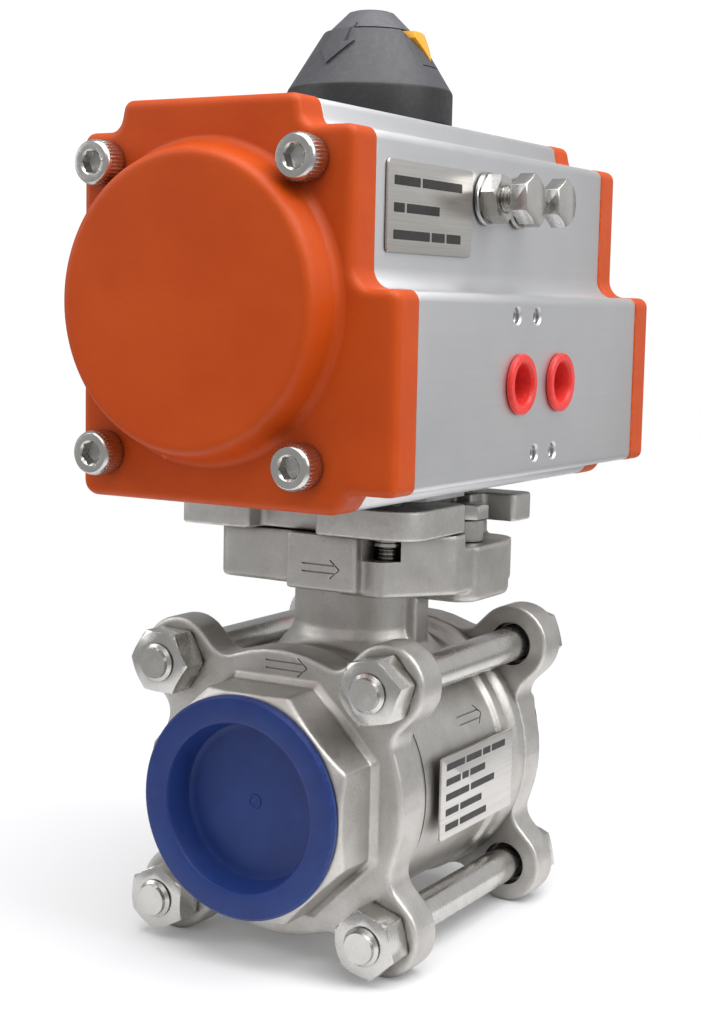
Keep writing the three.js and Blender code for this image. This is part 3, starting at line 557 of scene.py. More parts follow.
MATERIALS = {
    "orange_paint": ORANGE,
    "anodised_aluminium": ALUMINIUM,
    "cast_stainless": CASTING,
    "machined_stainless": STEEL,
    "nameplate_steel": PLATE,
    "dark_steel": DARK_STEEL,
    "seal_rubber": RUBBER,
    "acetal": ACETAL,
    "ptfe": PTFE,
    "indicator_grey": GREY,
    "indicator_amber": AMBER,
    "port_red": RED,
    "cap_blue": BLUE,
}


def dress_cad_nodes():
    """Gives every CAD node that still shows its procedural material."""
    for name, node in frame["nodes"].items():
        for slot in node.material_slots:
            slot.material = MATERIALS[SLOT_OF[name]]


# ---------------------------------------------------------------- actuator shell


def shell_corners(slack=0.0):
    """The stepped section shared by the extruded body and its caps, in (x, z)."""
    base, top = BODY_BASE, BODY_TOP
    shoulder = base + 104.8
    corners = [
        (CAP_LEFT, base, 4.5),
        (44.0, base, 5),
        (47.6, base + 6, 3.5),
        (LOWER_FACE, base + 6, 2.6),
        (LOWER_FACE, base + 61.5, 3.2),
        (UPPER_FACE, base + 61.5, 6),
        (UPPER_FACE, shoulder, 3.2),
        (31.5, shoulder, 4.5),
        (29.5, top, 3),
        (-29, top, 3),
        (-31, shoulder, 4.5),
        (CAP_LEFT, shoulder, 3.2),
    ]
    return inset(corners, slack) if slack else corners


def end_cap():
    """The rear cap: a flange with soft edges and a flat-faced dome that flows into it."""
    inner = low("rear_end_cap", "y")
    flange = prism("y", shell_corners(), inner, CAP_FACE, (0.3, 2.6), 8, 5)
    dome = lathe([
        (0, inner + 3),
        (44.3, inner + 3),
        (44.5, CAP_FACE),
        (42.5, DOME_END - 2.8),
        (42.0, DOME_END - 1.5),
        (41.3, DOME_END - 0.6),
        (40.3, DOME_END - 0.1),
        (39.0, DOME_END),
        (0, DOME_END),
    ], "y", (0, 0, BORE_Z), DOME_ROUND)
    root = lathe([
        (0, CAP_FACE - 0.4),
        (46.0, CAP_FACE - 0.4),
        (45.8, CAP_FACE + 0.1),
        (44.9, CAP_FACE + 0.6),
        (44.4, CAP_FACE + 1.6),
        (0, CAP_FACE + 1.6),
    ], "y", (0, 0, BORE_Z), DOME_ROUND)
    root = common(root, prism("y", inset(shell_corners(), 0.9), inner, DOME_END))
    return cast(join(flange, dome, root), 0.5, 2)


def add_caps():
    rear = end_cap()
    front = mirrored_in_y(rear)
    finish_piece(rear, "rear_end_cap", ORANGE, sharp=60)
    finish_piece(front, "front_end_cap", ORANGE, sharp=60)


def thread_hole(axis, radius, pitch, start, mouth, centre):
    """A cutter for a blind threaded hole with a countersunk mouth."""
    profile = [(0, start), (radius, start)]
    along = start
    while along + pitch < mouth - 0.6:
        profile += [(radius + 0.35, along + pitch / 2), (radius, along + pitch)]
        along += pitch
    profile += [(radius, mouth - 0.6), (radius + 0.6, mouth), (radius + 0.6, mouth + 1), (0, mouth + 1)]
    return lathe(profile, axis, centre, 32)


def add_body():
    """The extruded shell with its octagonal boss below, its bore and every hole in its sides."""
    body = prism("y", shell_corners(0.25), -BODY_END, BODY_END, (0.3, 0.3), 8, 2)
    boss = prism("z", polygon(8, 62, HALF_TURN / 8), PLATE_TOP + 0.15, BODY_BASE + 4)
    cutters = [cylinder("y", BORE_RADIUS, -BODY_END - 1, BODY_END + 1, (0, 0, BORE_Z), ROUND)]
    skin = LOWER_FACE - 0.25
    for y, up in ((-15.8, 54.9), (-1.8, 54.9), (-1.0, 13.2), (12.4, 13.2)):
        cutters.append(thread_hole("x", 2.35, 0.8, LOWER_FACE - 8, skin, (0, y, BODY_BASE + up)))
    for x in (-15, 15):
        for y in (-40, 40):
            cutters.append(thread_hole("z", 2.1, 0.8, BODY_TOP - 10, BODY_TOP - 0.25, (x, y, 0)))
    for name in ("front", "rear"):
        port = middle(name + "_port_bush")
        cutters.append(cylinder("x", 8, 51.5, 64, (0, port.y / MM, PORT_Z)))
        screw = middle(name + "_stop_screw")
        cutters.append(cylinder("x", 4.15, 12, 50, (0, screw.y / MM, STOP_Z)))
    cutters.append(cylinder("z", 14.9, BORE_Z, BODY_TOP + 1))
    cutters.append(cylinder("z", 20.1, PLATE_TOP - 1, BORE_Z))
    for x, y in four_corners(STUD_REACH):
        cutters.append(cylinder("z", 4.2, PLATE_TOP - 1, BODY_BASE + 11.5, (x, y, 0)))
    for x in CAP_SCREW_X:
        for z in CAP_SCREW_Z:
            for y in (-BODY_END - 1, 50):
                cutters.append(cylinder("y", 4.15, y, y + 27.6, (x, 0, z), 24))
    finish_piece(cut(join(body, boss), *cutters), "actuator_body", ALUMINIUM)


# ---------------------------------------------------------------- fasteners


def threaded_rod(radius, pitch, start, end, axis="y", centre=(0, 0, 0), taper=1.0):
    """A rod whose thread shows as sharp crests, with a chamfer at its start."""
    root = radius - pitch * 0.6
    profile = [(0, start), (root - 0.2, start), (root, start + taper)]
    along = start + taper
    while along + pitch < end:
        profile += [(radius, along + pitch * 0.45), (radius, along + pitch * 0.55), (root, along + pitch)]
        along += pitch
    profile += [(root, end), (0, end)]
    return lathe(profile, axis, centre, 40)


def hex_block(across, start, end, chamfer_start=True, first=0.0):
    """A hexagon along Z whose corners are turned off at 30 degrees, at its end or at both ends."""
    block = prism("z", polygon(6, across, first), start, end)
    reach = across / 2 / math.cos(HALF_TURN / 6) + 0.2
    drop = (reach - across / 2 * 0.985) * math.tan(math.radians(30))
    turned = [(0, start)]
    turned += [(across / 2 * 0.985, start), (reach, start + drop)] if chamfer_start else [(reach, start)]
    turned += [(reach, end - drop), (across / 2 * 0.985, end), (0, end)]
    return common(block, lathe(turned, "z", (0, 0, 0), 72))


def socket_screw():
    """An M8 socket cap screw head along Z with its seat at z = 0: knurled side and hexagon socket."""
    teeth = 36
    knurl = []
    for i in range(teeth * 2):
        angle = HALF_TURN * i / teeth
        radius = 6.5 if i % 2 else 6.3
        knurl.append((radius * math.cos(angle), radius * math.sin(angle)))
    sleeve = prism("z", knurl, 0.8, 6.6)
    side = [(0, 0), (6.15, 0), (6.35, 0.4), (6.35, 6.9), (6.1, 7.5), (5.6, 8), (0, 8)]
    core = lathe(side, "z", (0, 0, 0), 64)
    hexagon = join(prism("z", polygon(6, 6), 4.2, 9), lathe([(0, 2.6), (3, 4.3), (0, 4.3)], "z"))
    mouth = lathe([(0, 7.4), (3.1, 7.4), (4.0, 8.3), (0, 8.3)], "z", (0, 0, 0), 48)
    return bevelled(cut(join(core, sleeve), hexagon, mouth), 0.08, 40)


def add_cap_screws():
    screw = socket_screw()
    number = 0
    for z in CAP_SCREW_Z:
        for x in CAP_SCREW_X:
            number += 1
            for side, direction in (("front", -1), ("rear", 1)):
                spin = 0.35 + 0.9 * number + direction
                head = copied(screw, turn=spin)
                head.data.transform(Matrix.Rotation(-QUARTER * direction, 4, "X"))
                head.data.transform(Matrix.Translation((x, direction * (CAP_FACE + 0.05), z)))
                finish_piece(head, f"{side}_cap_screw_{number}", STEEL)
    bpy.data.objects.remove(screw)


def add_tie_bolts():
    """The long bolts through the lobes: threaded at the front with a nut, and headed at the rear."""
    thread_showing = 1.7
    nut = hex_block(TIE_NUT_ACROSS, 0, 10)
    nut = bevelled(cut(nut, cylinder("z", 5.3, -1, 11)), 0.25)
    head = bevelled(hex_block(TIE_NUT_ACROSS, 0, 7.5, chamfer_start=False), 0.25)
    number = 0
    for z in (-EAR_REACH, EAR_REACH):
        for x in (-EAR_REACH, EAR_REACH):
            number += 1
            centre = (x, 0, z)
            start = low(f"tie_bolt_{number}", "y") - thread_showing
            rod = threaded_rod(5.95, 1.75, start, start + 20, "y", centre, 1.2)
            shank = cylinder("y", 5.75, start + 19.5, EAR_OUTER + 1, centre)
            rear = copied(head, turn=0.4 + number)
            rear.data.transform(Matrix.Rotation(-QUARTER, 4, "X"))
            rear.data.transform(Matrix.Translation((x, EAR_OUTER + 0.1, z)))
            finish_piece(join(rod, shank, rear), f"tie_bolt_{number}", STEEL)
            front = copied(nut, turn=0.25 + 1.3 * number)
            front.data.transform(Matrix.Rotation(QUARTER, 4, "X"))
            front.data.transform(Matrix.Translation((x, -EAR_OUTER - 0.1, z)))
            finish_piece(front, f"tie_nut_{number}", STEEL)
    bpy.data.objects.remove(nut)
    bpy.data.objects.remove(head)


def add_stops():
    """The two stop screws in the right side, each with its lock nut and washer."""
    for side in ("front", "rear"):
        node = side + "_stop_screw"
        y = middle(node).y / MM
        centre = (0, y, STOP_Z)
        end = high(node, "x")
        head = bevelled(hex_block(SMALL_HEX_ACROSS, 0, 5.3, chamfer_start=False), 0.2)
        head.data.transform(Matrix.Translation((end - 5.3, y, STOP_Z)) @ Matrix.Rotation(QUARTER, 4, "Y"))
        rod = threaded_rod(3.95, 1.25, low(node, "x"), end - 5, "x", centre, 0.8)
        finish_piece(join(rod, head), node, STEEL)
        seat = UPPER_FACE + 0.15
        nut = hex_block(SMALL_HEX_ACROSS, 0, 5.6, first=0.3)
        nut.data.transform(Matrix.Translation((seat + 1.2, y, STOP_Z)) @ Matrix.Rotation(QUARTER, 4, "Y"))
        washer = lathe([
            (4.3, seat), (7.6, seat), (8, seat + 0.3), (8, seat + 1), (7.6, seat + 1.3), (4.3, seat + 1.3),
        ], "x", centre)
        nut = cut(join(nut, washer), cylinder("x", 4.1, seat - 1, seat + 9, centre))
        finish_piece(bevelled(nut, 0.15), side + "_stop_lock_nut", STEEL)


def add_port_bushes():
    for side in ("front", "rear"):
        y = middle(side + "_port_bush").y / MM
        face = LOWER_FACE
        bush = lathe([
            (6.1, 52),
            (7.7, 52),
            (7.7, face),
            (8.9, face),
            (9.1, face + 0.3),
            (9.1, face + 1.2),
            (8.7, face + 1.65),
            (6.9, face + 1.65),
            (6.4, face + 1.3),
            (6.1, face + 0.6),
        ], "x", (0, y, PORT_Z))
        finish_piece(bush, side + "_port_bush", RED)


# ---------------------------------------------------------------- position indicator

SKIRT_RADIUS = 26.3
SKIRT_HEIGHT = 10.4
CROWN_HEIGHT = 6.5
INDICATOR_ROUND = 144
CONE_RADIUS = 14.7
CROWN_RADIUS = 13.1
POINTER_TURN = math.radians(8)
ARROW_TURN = math.radians(-97)


def indicator_surface(shrink, start, cone_top, top):
    """The indicator's skirt, cone and smaller crown, drawn `shrink` inside their outer surface."""
    skirt_top = start + SKIRT_HEIGHT
    return lathe([
        (0, start),
        (SKIRT_RADIUS - shrink - 0.3, start),
        (SKIRT_RADIUS - shrink, start + 0.4),
        (SKIRT_RADIUS - shrink, skirt_top - 0.8),
        (SKIRT_RADIUS - shrink - 0.3, skirt_top),
        (SKIRT_RADIUS - shrink - 0.9, skirt_top + 0.9),
        (CONE_RADIUS - shrink + 0.5, cone_top - 0.9),
        (CONE_RADIUS - shrink, cone_top - 0.3),
        (CONE_RADIUS - shrink - 0.8, cone_top),
        (CROWN_RADIUS - shrink, cone_top + 0.1),
        (CROWN_RADIUS - shrink - 0.4, cone_top + 0.6),
        (8.2 - shrink, top - 1.5),
        (7.2 - shrink, top - 0.5),
        (5.6 - shrink, top),
        (0, top),
    ], "z", (0, 0, 0), INDICATOR_ROUND)


def outward_prism(corners, angle):
    """A shape drawn on a vertical plane (across, height), run outward from the stem towards an angle."""
    block = prism("x", corners, 4, 34)
    block.data.transform(Matrix.Rotation(angle, 4, "Z"))
    return block


def add_indicator():
    """The grey position indicator, with raised arrows at three sides and the amber pointer at the fourth."""
    start = low("indicator_cap", "z")
    top = high("indicator_cap", "z")
    cone_top = top - CROWN_HEIGHT
    shape = (start, cone_top, top)
    shell = indicator_surface(0, *shape)
    tip = cone_top - 9.3
    point = tip - 2.4
    arrow = [
        (0, point),
        (6.4, point + 7.0),
        (3.4, point + 7.0),
        (3.4, cone_top + 1.6),
        (-3.4, cone_top + 1.6),
        (-3.4, point + 7.0),
        (-6.4, point + 7.0),
    ]
    seat = [(0, tip - 1), (7.2, cone_top - 0.6), (7.2, cone_top), (-7.2, cone_top), (-7.2, cone_top - 0.6)]
    raised = []
    for angle in (ARROW_TURN, ARROW_TURN - QUARTER, ARROW_TURN + HALF_TURN):
        raised.append(common(outward_prism(arrow, angle), indicator_surface(-0.9, *shape)))
    seat = cut(outward_prism(seat, POINTER_TURN), indicator_surface(2.4, *shape))
    split = lathe([
        (CROWN_RADIUS - 1.4, cone_top - 0.35),
        (20, cone_top - 0.35),
        (20, cone_top + 0.3),
        (CROWN_RADIUS - 1.4, cone_top + 0.3),
    ], "z", (0, 0, 0), INDICATOR_ROUND)
    line_z = tip - 2.2
    line = common(lathe([(10, line_z), (34, line_z), (34, line_z + 0.35), (10, line_z + 0.35)]),
                  outward_prism(rectangle(-7, 9, line_z - 1, line_z + 1), POINTER_TURN))
    line = cut(line, indicator_surface(0.35, *shape))
    well = cylinder("z", 17, start - 1, start + 11)
    screw_seat = cylinder("z", 4.6, top - 2.4, top + 1)
    shell = cut(shell, split)
    shell = cut(join(shell, *raised), seat, line, well, screw_seat)
    shell = finish_piece(bevelled(shell, 0.12, 40), "indicator_cap", GREY)
    shell.data.materials.append(SKIRT)
    # Painted light: the crown's faces are given a lighter copy of the grey for the light that falls on them
    # from above.
    shell.data.materials.append(LIT_CROWN_GREY)
    for face in shell.data.polygons:
        if face.center.z < PIPE_Z + (start + SKIRT_HEIGHT - 0.1) * MM:
            face.material_index = 1
        elif face.center.z > PIPE_Z + (cone_top + 0.2) * MM:
            face.material_index = 2
    wedge = [
        (0, tip - 0.2),
        (5.2, cone_top - 2.6),
        (4.6, cone_top - 0.4),
        (-4.6, cone_top - 0.4),
        (-5.2, cone_top - 2.6),
    ]
    flag = lathe([
        (0, tip - 1),
        (CONE_RADIUS + 6.2, tip - 1),
        (CONE_RADIUS + 5.2, tip + 1.6),
        (CONE_RADIUS + 2.2, cone_top - 0.4),
        (0, cone_top - 0.4),
    ], "z", (0, 0, 0), INDICATOR_ROUND)
    pointer = cut(common(outward_prism(wedge, POINTER_TURN), flag), indicator_surface(2.3, *shape))
    finish_piece(bevelled(pointer, 0.25, 40), "indicator_pointer", AMBER)


# ---------------------------------------------------------------- nameplates


def label_rows(u0, u1, rows):
    """Spans of generic dark marks, a row at a time, standing in for a plate's print."""
    marks = []
    for v, height, words in rows:
        u = u0
        for share in words:
            width = (u1 - u0) * share
            marks.append((u, u + width, v - height / 2, v + height / 2))
            u += width + 1.1
    return marks


def add_nameplate(node, face, rows, corner):
    """A brushed plate whose print is plain dark bars."""
    y0, y1 = low(node, "y"), high(node, "y")
    z0, z1 = low(node, "z"), high(node, "z")
    plate = prism("x", rectangle(y0, y1, z0, z1, corner), low(node, "x"), face, (0, 0.2), 6, 2)
    finish_piece(plate, node, PLATE)
    for number, (u0, u1, v0, v1) in enumerate(label_rows(y0 + 3.2, y1 - 3.2, rows)):
        mark = prism("x", rectangle(u0, u1, v0, v1, 0.25), face - 0.05, face + 0.03, (0, 0), 3)
        finish_piece(mark, node, INK, f"{node}_mark_{number + 1}", hide=False)


def add_nameplates():
    z = middle("actuator_nameplate").z / MM - PIPE_Z / MM
    add_nameplate("actuator_nameplate", high("actuator_nameplate", "x"), [
        (z + 7.0, 2.6, (0.34, 0.55)),
        (z - 0.4, 2.6, (0.14, 0.44)),
        (z - 7.8, 2.6, (0.48, 0.18, 0.20)),
    ], 1.6)
    z = middle("valve_nameplate").z / MM - PIPE_Z / MM
    add_nameplate("valve_nameplate", high("valve_nameplate", "x"), [
        (z + 9.6, 2.2, (0.28, 0.24, 0.12, 0.22)),
        (z + 4.8, 2.2, (0.22, 0.10, 0.24)),
        (z + 0.0, 2.2, (0.36, 0.38)),
        (z - 4.8, 2.2, (0.20, 0.34)),
        (z - 9.6, 2.2, (0.20, 0.42)),
    ], 1.0)


# ---------------------------------------------------------------- mounting plate, studs and bolts


def add_plate():
    """The bracket plate, whose second half repeats its first after half a turn."""
    half = PLATE_HALF
    side = [
        (-half, -half, 3),
        (-16, -half, 2),
        (-16, -34, 2.5),
        (8, -34, 2.5),
        (8, -half, 2),
        (half, -half, 10),
        (half, -6.4, 2),
        (24.8, -6.4, 2.5),
        (24.8, 18.8, 1),
        (30.5, 18.8, 1),
        (30.5, 28.0, 2),
        (half, 28.0, 2),
    ]
    other_side = [(-x, -y, radius) for x, y, radius in side]
    plate = prism("z", side + other_side, PLATE_BASE, PLATE_TOP, (0.9, 0.9), 6, 4)
    holes = [cylinder("z", 18, PLATE_BASE - 1, PLATE_TOP + 1, (0, 0, 0), ROUND)]
    for x, y in four_corners(STUD_REACH):
        holes.append(cylinder("z", 4.3, PLATE_BASE - 1, PLATE_TOP + 1, (x, y, 0)))
    finish_piece(cut(plate, *holes), "mounting_plate", CASTING)


def add_studs():
    for number, (x, y) in enumerate(((-1, -1), (1, -1), (1, 1), (-1, 1)), 1):
        node = f"mount_stud_{number}"
        centre = (x * STUD_REACH, y * STUD_REACH, 0)
        stud = threaded_rod(3.9, 1.25, low(node, "z"), high(node, "z"), "z", centre)
        shows_in_window = (x, y) == (1, -1)
        if shows_in_window:
            stud = join(stud, lathe([
                (0, PAD_TOP - 3.4), (4.7, PAD_TOP - 3.4), (5, PAD_TOP - 3.1), (5, PAD_TOP - 2.2),
                (4.5, PAD_TOP - 1.9), (5, PAD_TOP - 1.6), (5, PAD_TOP - 0.2), (0, PAD_TOP - 0.2),
            ], "z", centre))
        finish_piece(stud, node, STEEL)


def add_plate_bolts():
    for number, side in ((1, 1), (2, -1)):
        node = f"plate_bolt_{number}"
        centre = (side * PLATE_BOLT_AT[0], side * PLATE_BOLT_AT[1], 0)
        top = high(node, "z")
        seat = (RIGHT_LUG_TOP if side > 0 else PAD_TOP) + 0.1
        head = bevelled(hex_block(SMALL_HEX_ACROSS, top - 4.6, top, chamfer_start=False, first=0.5), 0.2)
        head.data.transform(Matrix.Translation(centre))
        collar = lathe([
            (0, low(node, "z")), (2.9, low(node, "z")), (2.9, seat), (5.6, seat), (6, seat + 0.4),
            (6, top - 5.3), (5.6, top - 4.9), (5.3, top - 4.7), (5.3, top - 4), (0, top - 4),
        ], "z", centre)
        finish_piece(join(collar, head), node, STEEL)


# ---------------------------------------------------------------- valve


def pad():
    """The valve's top block: its middle, two lugs for the plate bolts and a block at the front."""
    middle_block = prism("z", [
        (-29, -22, 6), (10, -24, 1), (11, -33, 1), (27, -34, 3.5), (42, -12, 3.5), (41.5, 33, 9), (14, 36, 3),
        (-16, 36, 2), (-39, 34, 8), (-39, -8, 3),
    ], PAD_BASE, PAD_TOP, (1.5, 0))
    ledge = join(
        prism("z", rectangle(29.2, 46, -6, 46), RIGHT_LUG_TOP, PAD_TOP + 1),
        cylinder("z", 6.6, RIGHT_LUG_TOP, PAD_TOP + 1, (*PLATE_BOLT_AT, 0)),
    )
    left = prism("z", rectangle(-32.6, -2, -34, 0, 4), PAD_BASE + 2.2, PAD_TOP, (1.5, 0))
    front = prism("z", rectangle(-4.2, 20.7, -38.5, 0, 1.2), PAD_BASE + 1.5, PAD_TOP, (1, 0))
    right = prism("z", [(14, -5, 3), (43, -5, 8), (43, 32, 12), (14, 32, 6)],
                  PAD_BASE - 3.8, RIGHT_LUG_TOP, (2, 1.2))
    return join(cut(middle_block, ledge), left, front, right)


def valve_barrel():
    half = VALVE_HALF
    return lathe([
        (0, -half),
        (43.6, -half),
        (44, -half + 0.5),
        (44, -half + 5.5),
        (42.5, -half + 8),
        (42.5, half - 17.5),
        (43.9, half - 16),
        (43.9, half - 11.6),
        (42.6, half - 10.4),
        (43.2, half - 8.5),
        (44.5, half - 6),
        (44.5, half),
        (0, half),
    ], "y", (0, 0, 0), DOME_ROUND)


def flow_arrow(axis, tail, tip, v, start, end):
    """A cutter for an outlined arrow from `tail` to `tip` at height `v`, run along an axis."""
    line = 0.5
    gap = 1.2
    head = 3.4
    bars = []
    for side in (-1, 1):
        edge = v + side * gap
        bars.append(rectangle(tail, tip - head * 0.5, edge - line / 2, edge + line / 2))
        reach = Vector((-head, side * head * 0.85))
        across = Vector((-reach.y, reach.x)).normalized() * line / 2
        point = Vector((tip, v))
        corners = [point + across, point + reach + across, point + reach - across, point - across]
        bars.append([tuple(corner) for corner in corners][::side])
    return [prism(axis, bar, start, end) for bar in bars]


def add_valve_body():
    """The valve's middle casting: barrel, neck, rib, pad and nameplate seat, then its bores and marks."""
    neck = lathe([
        (0, 20), (31, 20), (31, 34), (27, 38.5), (24, 42), (22, 44.5), (21, 47.5), (21, PAD_BASE + 6),
        (0, PAD_BASE + 6),
    ])
    rib = prism("z", rectangle(10, 23.8, -5, 5, 1.5), 34, PAD_BASE + 6)
    body = cast(join(valve_barrel(), neck, rib, pad()), 0.6, 3)
    seat = prism("x", rectangle(-19, 21, -8.6, 6.8, 1.5), 25, low("valve_nameplate", "x") - 0.05)
    body = join(body, seat)
    cutters = [
        prism("z", rectangle(20.9, 31, -45, -17, 1.2), 72.4, PAD_TOP + 1),
        cylinder("y", 35.4, -VALVE_HALF - 1, VALVE_HALF + 1, (0, 0, 0), ROUND),
        cylinder("z", 9.2, 20, PAD_TOP + 1),
        cylinder("z", 12.7, PAD_TOP - 24, PAD_TOP + 1),
        lathe([(41.9, -29.9), (46, -29.9), (46, -29.2), (41.9, -29.2)], "y", (0, 0, 0), DOME_ROUND),
    ]
    for x, y in four_corners(STUD_REACH):
        cutters.append(cylinder("z", 4.2, 66, PAD_TOP + 1, (x, y, 0)))
    for side in (-1, 1):
        centre = (side * PLATE_BOLT_AT[0], side * PLATE_BOLT_AT[1], 0)
        cutters.append(cylinder("z", 3.1, 65, PAD_TOP + 1, centre))
    cutters += flow_arrow("y", 2, 15.4, 69.6, -40, -38.0)
    for bar in flow_arrow("x", -1, 15, 18.6, 30, 50):
        cutters.append(cut(bar, cylinder("y", 42.1, -VALVE_HALF, VALVE_HALF, (0, 0, 0), ROUND)))
    finish_piece(cut(body, *cutters), "valve_body", CASTING, sharp=50)


def ear_corners():
    """The end connector's plate: a round flange with four lobes for the tie bolts."""
    tip = EAR_REACH * math.sqrt(2) + EAR_RADIUS
    flange = 45.0
    lean = math.asin((EAR_RADIUS + 1) / flange)
    corners = []
    for ear in range(4):
        angle = HALF_TURN / 4 + ear * QUARTER
        along = Vector((math.cos(angle), math.sin(angle)))
        across = Vector((-along.y, along.x))
        root = flange * math.cos(lean) + 1
        full = EAR_RADIUS - 0.01
        for reach, offset, radius in ((root, -1, 7), (tip, -1, full), (tip, 1, full), (root, 1, 7)):
            point = along * reach + across * offset * EAR_RADIUS
            corners.append((point.x, point.y, radius))
        for step in range(1, 8):
            around = angle + lean + (QUARTER - 2 * lean) * step / 8
            corners.append((flange * math.cos(around), flange * math.sin(around), 0))
    return corners


def end_connector():
    """The rear connector: a lobed plate, a cast octagon with a low foot, and a bore for the pipe."""
    inner = low("rear_end_connector", "y")
    plate = prism("y", ear_corners(), inner, EAR_OUTER, (0.4, 1.2), 10, 4)
    root = EAR_OUTER - 1
    foot = prism("y", polygon(8, OCTAGON_ACROSS + 2.6, HALF_TURN / 8), root, EAR_OUTER + 1.4, (0, 1.2))
    octagon = prism("y", polygon(8, OCTAGON_ACROSS, HALF_TURN / 8), root, PIPE_END)
    turned = lathe([
        (0, EAR_OUTER - 5), (40, EAR_OUTER - 5), (40, PIPE_END - 4.2), (34.2, PIPE_END), (0, PIPE_END),
    ], "y")
    body = cast(join(plate, foot, common(octagon, turned)), 0.6, 5)
    cutters = [
        cylinder("y", 25, inner - 1, PIPE_END + 1, (0, 0, 0), ROUND),
        cylinder("y", 28.8, PIPE_END - 18, PIPE_END + 1, (0, 0, 0), ROUND),
    ]
    for x, z in four_corners(EAR_REACH):
        cutters.append(cylinder("y", 6.3, inner - 1, EAR_OUTER + 2, (x, 0, z)))
        cutters.append(cylinder("y", 7.3, inner - 1, inner + 5, (x, 0, z)))
    return cut(body, *cutters)


def thread_cap():
    """The rear thread protector: a soft flange round a deep cup with a moulding mark on its floor."""
    face = low("rear_thread_cap", "y") + 4.6
    end = high("rear_thread_cap", "y")
    well = end - 10.2
    return lathe([
        (0, well - 2.2),
        (27.2, well - 2.2),
        (28.2, well - 1.0),
        (28.3, face - 0.3),
        (28.9, face),
        (33.6, face),
        (34.2, face + 0.6),
        (34.2, end - 0.9),
        (33.4, end - 0.1),
        (32.6, end),
        (27.0, end),
        (26.0, end - 0.35),
        (25.5, end - 1.1),
        (24.6, well + 1.4),
        (24.1, well + 0.4),
        (23.2, well + 0.1),
        (22.0, well),
        (2.4, well),
        (2.2, well + 0.3),
        (1.7, well + 0.3),
        (1.5, well),
        (0.8, well),
        (0.6, well + 0.2),
        (0, well + 0.2),
    ], "y")


def add_connectors():
    rear = end_connector()
    front = mirrored_in_y(rear)
    front = cut(front, *flow_arrow("y", -4.2, 10.8, 40.2, -EAR_OUTER - 1, -EAR_OUTER + 0.45))
    finish_piece(rear, "rear_end_connector", CASTING, sharp=50)
    finish_piece(front, "front_end_connector", CASTING, sharp=50)
    rear = thread_cap()
    front = mirrored_in_y(rear)
    finish_piece(rear, "rear_thread_cap", BLUE)
    finish_piece(front, "front_thread_cap", BLUE)


# ---------------------------------------------------------------- studio


def add_floor():
    """A pale floor that takes shadows near the object and fades to plain white further out."""
    shader = Shader("studio_floor", Roughness=0.85)
    shader.bsdf.inputs["Base Color"].default_value = (0.8, 0.8, 0.81, 1)
    shader.bsdf.inputs["Emission Color"].default_value = (1, 1, 1, 1)
    shader.bsdf.inputs["Emission Strength"].default_value = 0.1
    away = shader.node("ShaderNodeVectorMath")
    away.operation = "LENGTH"
    shader.tree.links.new(shader.coords, away.inputs[0])
    fade = shader.ramp(away.outputs["Value"], 0.16, 0.42, 0, 1)
    seen = shader.tree.nodes.new("ShaderNodeLightPath").outputs["Is Camera Ray"]
    white = shader.node("ShaderNodeEmission", Strength=shader.ramp(seen, 0, 1, 0.4, 1.0))
    mix = shader.node("ShaderNodeMixShader", Fac=fade)
    shader.tree.links.new(shader.bsdf.outputs[0], mix.inputs[1])
    shader.tree.links.new(white.outputs[0], mix.inputs[2])
    shader.tree.links.new(mix.outputs[0], shader.tree.nodes["Material Output"].inputs["Surface"])
    span = 6.0
    corners = [(-span, -span, 0), (span, -span, 0), (span, span, 0), (-span, span, 0)]
    floor = new_object("studio_floor", corners, [[0, 1, 2, 3]])
    floor.location.z = CAD_BOX[0][2]
    floor.data.materials.append(shader.material)


def add_softbox(name, position, target, size, power):
    light = bpy.data.lights.new(name, "AREA")
    light.shape = "RECTANGLE"
    light.size, light.size_y = size
    light.energy = power
    lamp = bpy.data.objects.new(name, light)
    lamp.location = position
    lamp.rotation_euler = (Vector(target) - Vector(position)).to_track_quat("-Z", "Y").to_euler()
    bpy.context.scene.collection.objects.link(lamp)


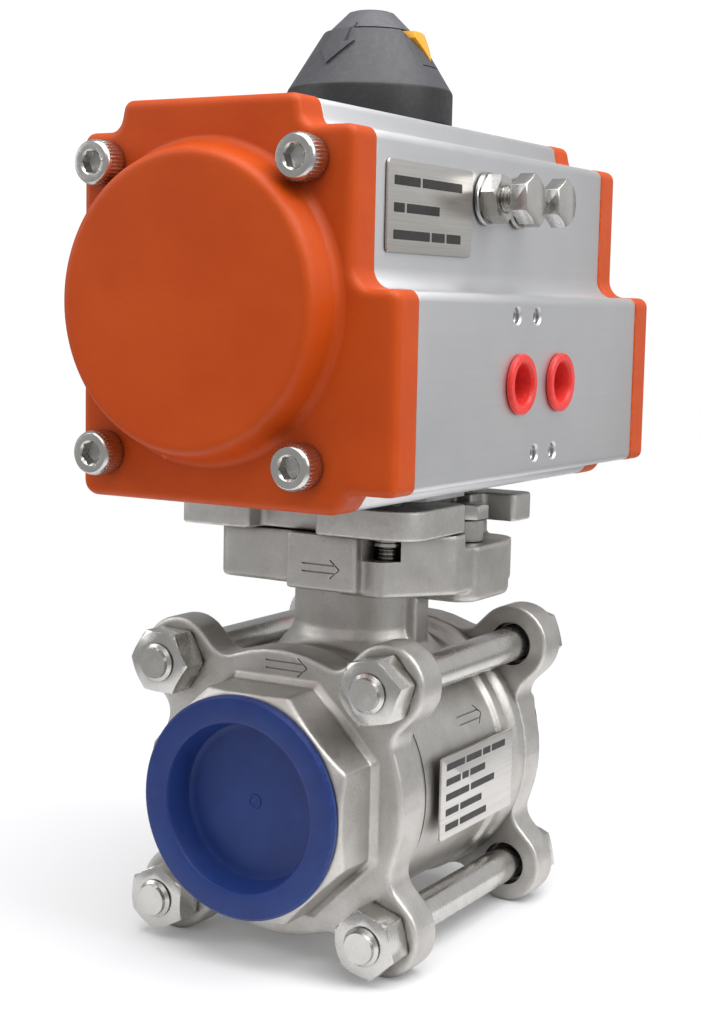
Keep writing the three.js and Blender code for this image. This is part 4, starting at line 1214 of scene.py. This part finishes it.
def add_world():
    """White behind the object for the camera, and a softer grey room for what it lights."""
    world = bpy.data.worlds.new("studio")
    bpy.context.scene.world = world
    world.use_nodes = True
    tree = world.node_tree
    tree.nodes.clear()
    seen = tree.nodes.new("ShaderNodeBackground")
    seen.inputs["Color"].default_value = (1, 1, 1, 1)
    seen.inputs["Strength"].default_value = 1.05
    room = tree.nodes.new("ShaderNodeBackground")
    room.inputs["Color"].default_value = (0.97, 0.98, 1.0, 1)
    room.inputs["Strength"].default_value = 0.4
    path = tree.nodes.new("ShaderNodeLightPath")
    mix = tree.nodes.new("ShaderNodeMixShader")
    out = tree.nodes.new("ShaderNodeOutputWorld")
    tree.links.new(path.outputs["Is Camera Ray"], mix.inputs["Fac"])
    tree.links.new(room.outputs[0], mix.inputs[1])
    tree.links.new(seen.outputs[0], mix.inputs[2])
    tree.links.new(mix.outputs[0], out.inputs["Surface"])


def add_camera():
    """Stands to the right of the front, low, and looks slightly down with a small roll."""
    yaw = math.radians(30.77)
    pitch = math.radians(-6.65)
    roll = math.radians(1.19)
    ahead = Vector((-math.sin(yaw) * math.cos(pitch), math.cos(yaw) * math.cos(pitch), math.sin(pitch)))
    level = Vector((math.cos(yaw), math.sin(yaw), 0))
    upright = level.cross(ahead)
    right = level * math.cos(roll) + upright * math.sin(roll)
    up = upright * math.cos(roll) - level * math.sin(roll)
    data = bpy.data.cameras.new("camera")
    data.sensor_width = 36
    data.lens = 62.03
    camera = bpy.data.objects.new("camera", data)
    turn = Matrix((right, up, -ahead)).transposed().to_4x4()
    place = Vector((289.7, -493.2, 149.5)) * MM + Vector((STEM_X, 0, PIPE_Z))
    camera.matrix_world = Matrix.Translation(place) @ turn
    bpy.context.scene.collection.objects.link(camera)
    bpy.context.scene.camera = camera


def add_studio():
    add_floor()
    add_world()
    add_camera()
    centre = (0, 0, 0.15)
    add_softbox("overhead", (0.25, -0.1, 1.25), centre, (1.6, 1.4), 20)
    add_softbox("left", (-1.0, -0.55, 0.7), centre, (0.6, 1.1), 4)
    add_softbox("right", (1.1, 0.0, 0.95), centre, (0.8, 1.2), 8)
    add_softbox("behind", (0.75, 1.1, 0.5), centre, (1.5, 1.0), 1.2)
    add_softbox("front", (0.2, -1.5, 0.9), centre, (1.0, 0.6), 1.6)
    view = bpy.context.scene.view_settings
    view.view_transform = "Standard"
    view.look = "None"


dress_cad_nodes()
add_caps()
add_body()
add_cap_screws()
add_stops()
add_port_bushes()
add_indicator()
add_nameplates()
add_plate()
add_studs()
add_plate_bolts()
add_valve_body()
add_connectors()
add_tie_bolts()
add_studio()
